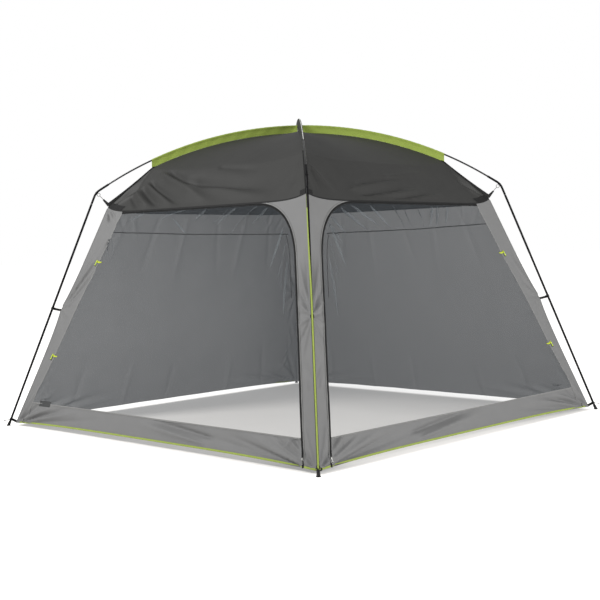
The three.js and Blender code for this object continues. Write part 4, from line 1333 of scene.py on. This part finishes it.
def build_toggle(wall, level):
    """Toggle bar with its dark tip, on a ribbon sewn to the door."""
    pivot = np.array(JOINTS[f"{wall}_toggle_{level}_swing"]["pos_m"])
    normal = wall_normal(wall)
    degrees, side = WALLS[wall]
    ends = np.array([[side * hinge_u(z), -half_at(z), z] for z in (0.5, 1.2)])
    ends = rotate(ends, degrees)
    up = (ends[1] - ends[0]) / np.linalg.norm(ends[1] - ends[0])
    along = np.cross(up, normal) * side
    stops = [(0.0035, 0.0009), (0.0028, 0.0028), (-0.003, 0.0044), (-0.010, 0.0040), (-0.014, 0.0033),
             (-0.018, 0.0030), (-0.022, 0.0033), (-0.027, 0.0040), (-0.034, 0.0044), (-0.0385, 0.0028),
             (-0.0395, 0.0009)]
    path = np.array([pivot + up * d for d, _ in stops])
    bar = turned(f"{wall}_toggle_grip_{level}", path, [r for _, r in stops], LIME, 16)
    path = np.array([pivot - up * d for d in (0.0345, 0.036, 0.0395, 0.0405)])
    tip = turned(f"{wall}_toggle_tip_{level}", path, [0.0046, 0.0046, 0.0030, 0.0010], NYLON, 16)
    whole = join_pieces(f"{wall}_toggle_bar_{level}", [bar, tip])
    place(whole, f"{wall}_toggle_{level}", [f"{wall}_toggle_{level}"])
    base = pivot - normal * 0.0050
    tab = [base - along * 0.012, base + normal * 0.0010, base + along * 0.020]
    path = resample(smooth_path(tab + [base + along * 0.052 + up * 0.012]), 0.004)
    section = np.array([rounded(width, 0.0014) for width in np.linspace(0.017, 0.008, len(path))])
    side = np.tile(normal, (len(path), 1))
    ribbon = sweep(f"{wall}_toggle_ribbon_{level}", path, section, LIME_TAPE, side=side)
    door_piece(ribbon, wall)


def build_label():
    """A blank patch sewn to the front door's skirt."""
    u, z, width, height = -1.221, 0.180, 0.150, 0.042
    us = u + np.linspace(-width / 2, width / 2, 25)
    zs = z + np.linspace(-height / 2, height / 2, 9) * math.cos(LEAN)
    uu, zz = np.meshgrid(us, zs)
    points = wall_points("front", uu, zz, 0.0022)
    patch = grid_piece("label", points, LABEL)
    solid = patch.modifiers.new("thick", "SOLIDIFY")
    solid.thickness = 0.0010
    place(patch, "front_door", ["label_patch"])


def build_corner_seams():
    """Bound seams down the four corners; the front right one is bound in green."""
    for corner in CORNERS:
        material, slot, width = GREY_TAPE, "grey_cloth", 0.0060
        if corner == "front_right":
            material, slot, width = GREEN_TAPE, "green_cloth", 0.0085
        path = np.array([[seam_r(z) + 0.0004, 0, z] for z in np.linspace(HEM_Z + 0.002, EAVE_Z - 0.012, 110)])
        side = corner_points(corner, np.tile(np.array([1.0, 0, 0.3]), (len(path), 1)))
        seam = sweep(f"corner_seam_{corner}", corner_points(corner, path), rounded(width, 0.0042), material,
                     side=side)
        place(seam, "root")


# ---------------------------------------------------------------- floor, light and camera
def build_floor():
    """Pale floor round the object that gives off light of its own: a little under the roof, and more further
    out, where it washes out the shadows and fades into the white of the studio.
    """
    bpy.ops.mesh.primitive_plane_add(size=FLOOR_SIZE)
    floor = bpy.context.object
    floor.name = "floor"
    n = Nodes("pale_floor")
    place_node = n.new("ShaderNodeTexCoord")
    noise = n.noise(place_node, "Object", Scale=3.0, Detail=4.0)
    ramp = n.new("ShaderNodeValToRGB")
    ramp.color_ramp.elements[0].color = FLOOR_DARK
    ramp.color_ramp.elements[1].color = FLOOR_LIGHT
    n.link(noise, "Fac", ramp, "Fac")
    n.link(ramp, "Color", n.shader, "Base Color")
    n.shader.inputs["Roughness"].default_value = 0.9
    parts = n.new("ShaderNodeSeparateXYZ")
    n.link(place_node, "Object", parts, 0)
    distance = n.new("ShaderNodeMath", operation="MAXIMUM")
    for index, axis in enumerate("XY"):
        side = n.new("ShaderNodeMath", operation="ABSOLUTE")
        n.link(parts, axis, side, 0)
        n.link(side, 0, distance, index)
    glow = n.new("ShaderNodeMapRange", interpolation_type="SMOOTHSTEP", From_Min=FLOOR_NEAR,
                 From_Max=FLOOR_FAR, To_Min=FLOOR_GLOW, To_Max=0.9)
    n.link(distance, 0, glow, "Value")
    n.link(glow, "Result", n.shader, "Emission Strength")
    n.shader.inputs["Emission Color"].default_value = (1, 1, 1, 1)
    floor.data.materials.append(n.material)


def build_world():
    """White to the camera, a dimmer white as a light."""
    world = bpy.data.worlds.new("studio")
    scene.world = world
    world.use_nodes = True
    tree = world.node_tree
    background = tree.nodes["Background"]
    background.inputs["Color"].default_value = (1, 1, 1, 1)
    path = tree.nodes.new("ShaderNodeLightPath")
    strength = tree.nodes.new("ShaderNodeMapRange")
    strength.inputs["To Min"].default_value = WORLD_LIGHT
    tree.links.new(path.outputs["Is Camera Ray"], strength.inputs["Value"])
    tree.links.new(strength.outputs["Result"], background.inputs["Strength"])


def build_lights():
    """A large key from the left, a softer fill from the right, and a wash on the two far walls only."""
    add_light("key", (-2.0, -7.5, 6.5), (0, 0, 1.0), 1340, (2.6, 2.6))
    add_light("fill", (7.5, 0.5, 2.6), (0, 0, 1.0), 660, (3.0, 3.0))
    far = bpy.data.collections.new("far_walls")
    for name in ("back_cloth", "left_cloth"):
        far.objects.link(bpy.data.objects[name])
    wash = add_light("wash", (3.4, -6.2, 1.1), (-0.4, 0.4, 0.9), 880, (3.0, 2.0))
    wash.light_linking.receiver_collection = far
    wash.light_linking.blocker_collection = far


def add_light(name, position, target, power, size):
    data = bpy.data.lights.new(name, "AREA")
    data.energy = power
    data.shape = "RECTANGLE"
    data.size, data.size_y = size
    light = bpy.data.objects.new(name, data)
    light.location = position
    aim = Vector(target) - Vector(position)
    light.rotation_euler = aim.to_track_quat("-Z", "Y").to_euler()
    light.visible_camera = False
    scene.collection.objects.link(light)
    return light


def build_camera():
    """Eye height 1.25 m, 8.3 m from the centre, almost along the diagonal, with a slight roll."""
    position = Vector((5.672, -6.039, 1.251))
    heading, pitch, roll = math.radians(133.30), math.radians(-2.53), math.radians(-1.35)
    flat = math.cos(pitch)
    forward = Vector((flat * math.cos(heading), flat * math.sin(heading), math.sin(pitch)))
    level = Vector((math.sin(heading), -math.cos(heading), 0))
    above = level.cross(forward)
    right = level * math.cos(roll) + above * math.sin(roll)
    up = above * math.cos(roll) - level * math.sin(roll)
    data = bpy.data.cameras.new("camera")
    data.sensor_width = 36.0
    data.lens = 66.39
    camera = bpy.data.objects.new("camera", data)
    turn = Matrix((right, up, -forward)).transposed().to_4x4()
    camera.matrix_world = Matrix.Translation(position) @ turn
    scene.collection.objects.link(camera)
    scene.camera = camera
    scene.view_settings.view_transform = "Standard"


build_camera()
build_floor()
build_world()
build_roof()
for corner_name in CORNERS:
    build_sleeve(corner_name)
build_corner_seams()
for wall_name in DOOR_WALLS:
    build_door_wall(wall_name)
    build_slider(wall_name)
    build_toggle(wall_name, "upper")
    build_toggle(wall_name, "lower")
for wall_name in ("back", "left"):
    build_solid_wall(wall_name)
build_label()
build_leg_tape("front_right")
for corner_name in CORNERS:
    build_frame(corner_name)
    build_foot(corner_name)
    build_clip(corner_name)
    build_foot_strap(corner_name)
    build_roof_hook(corner_name)

build_lights()
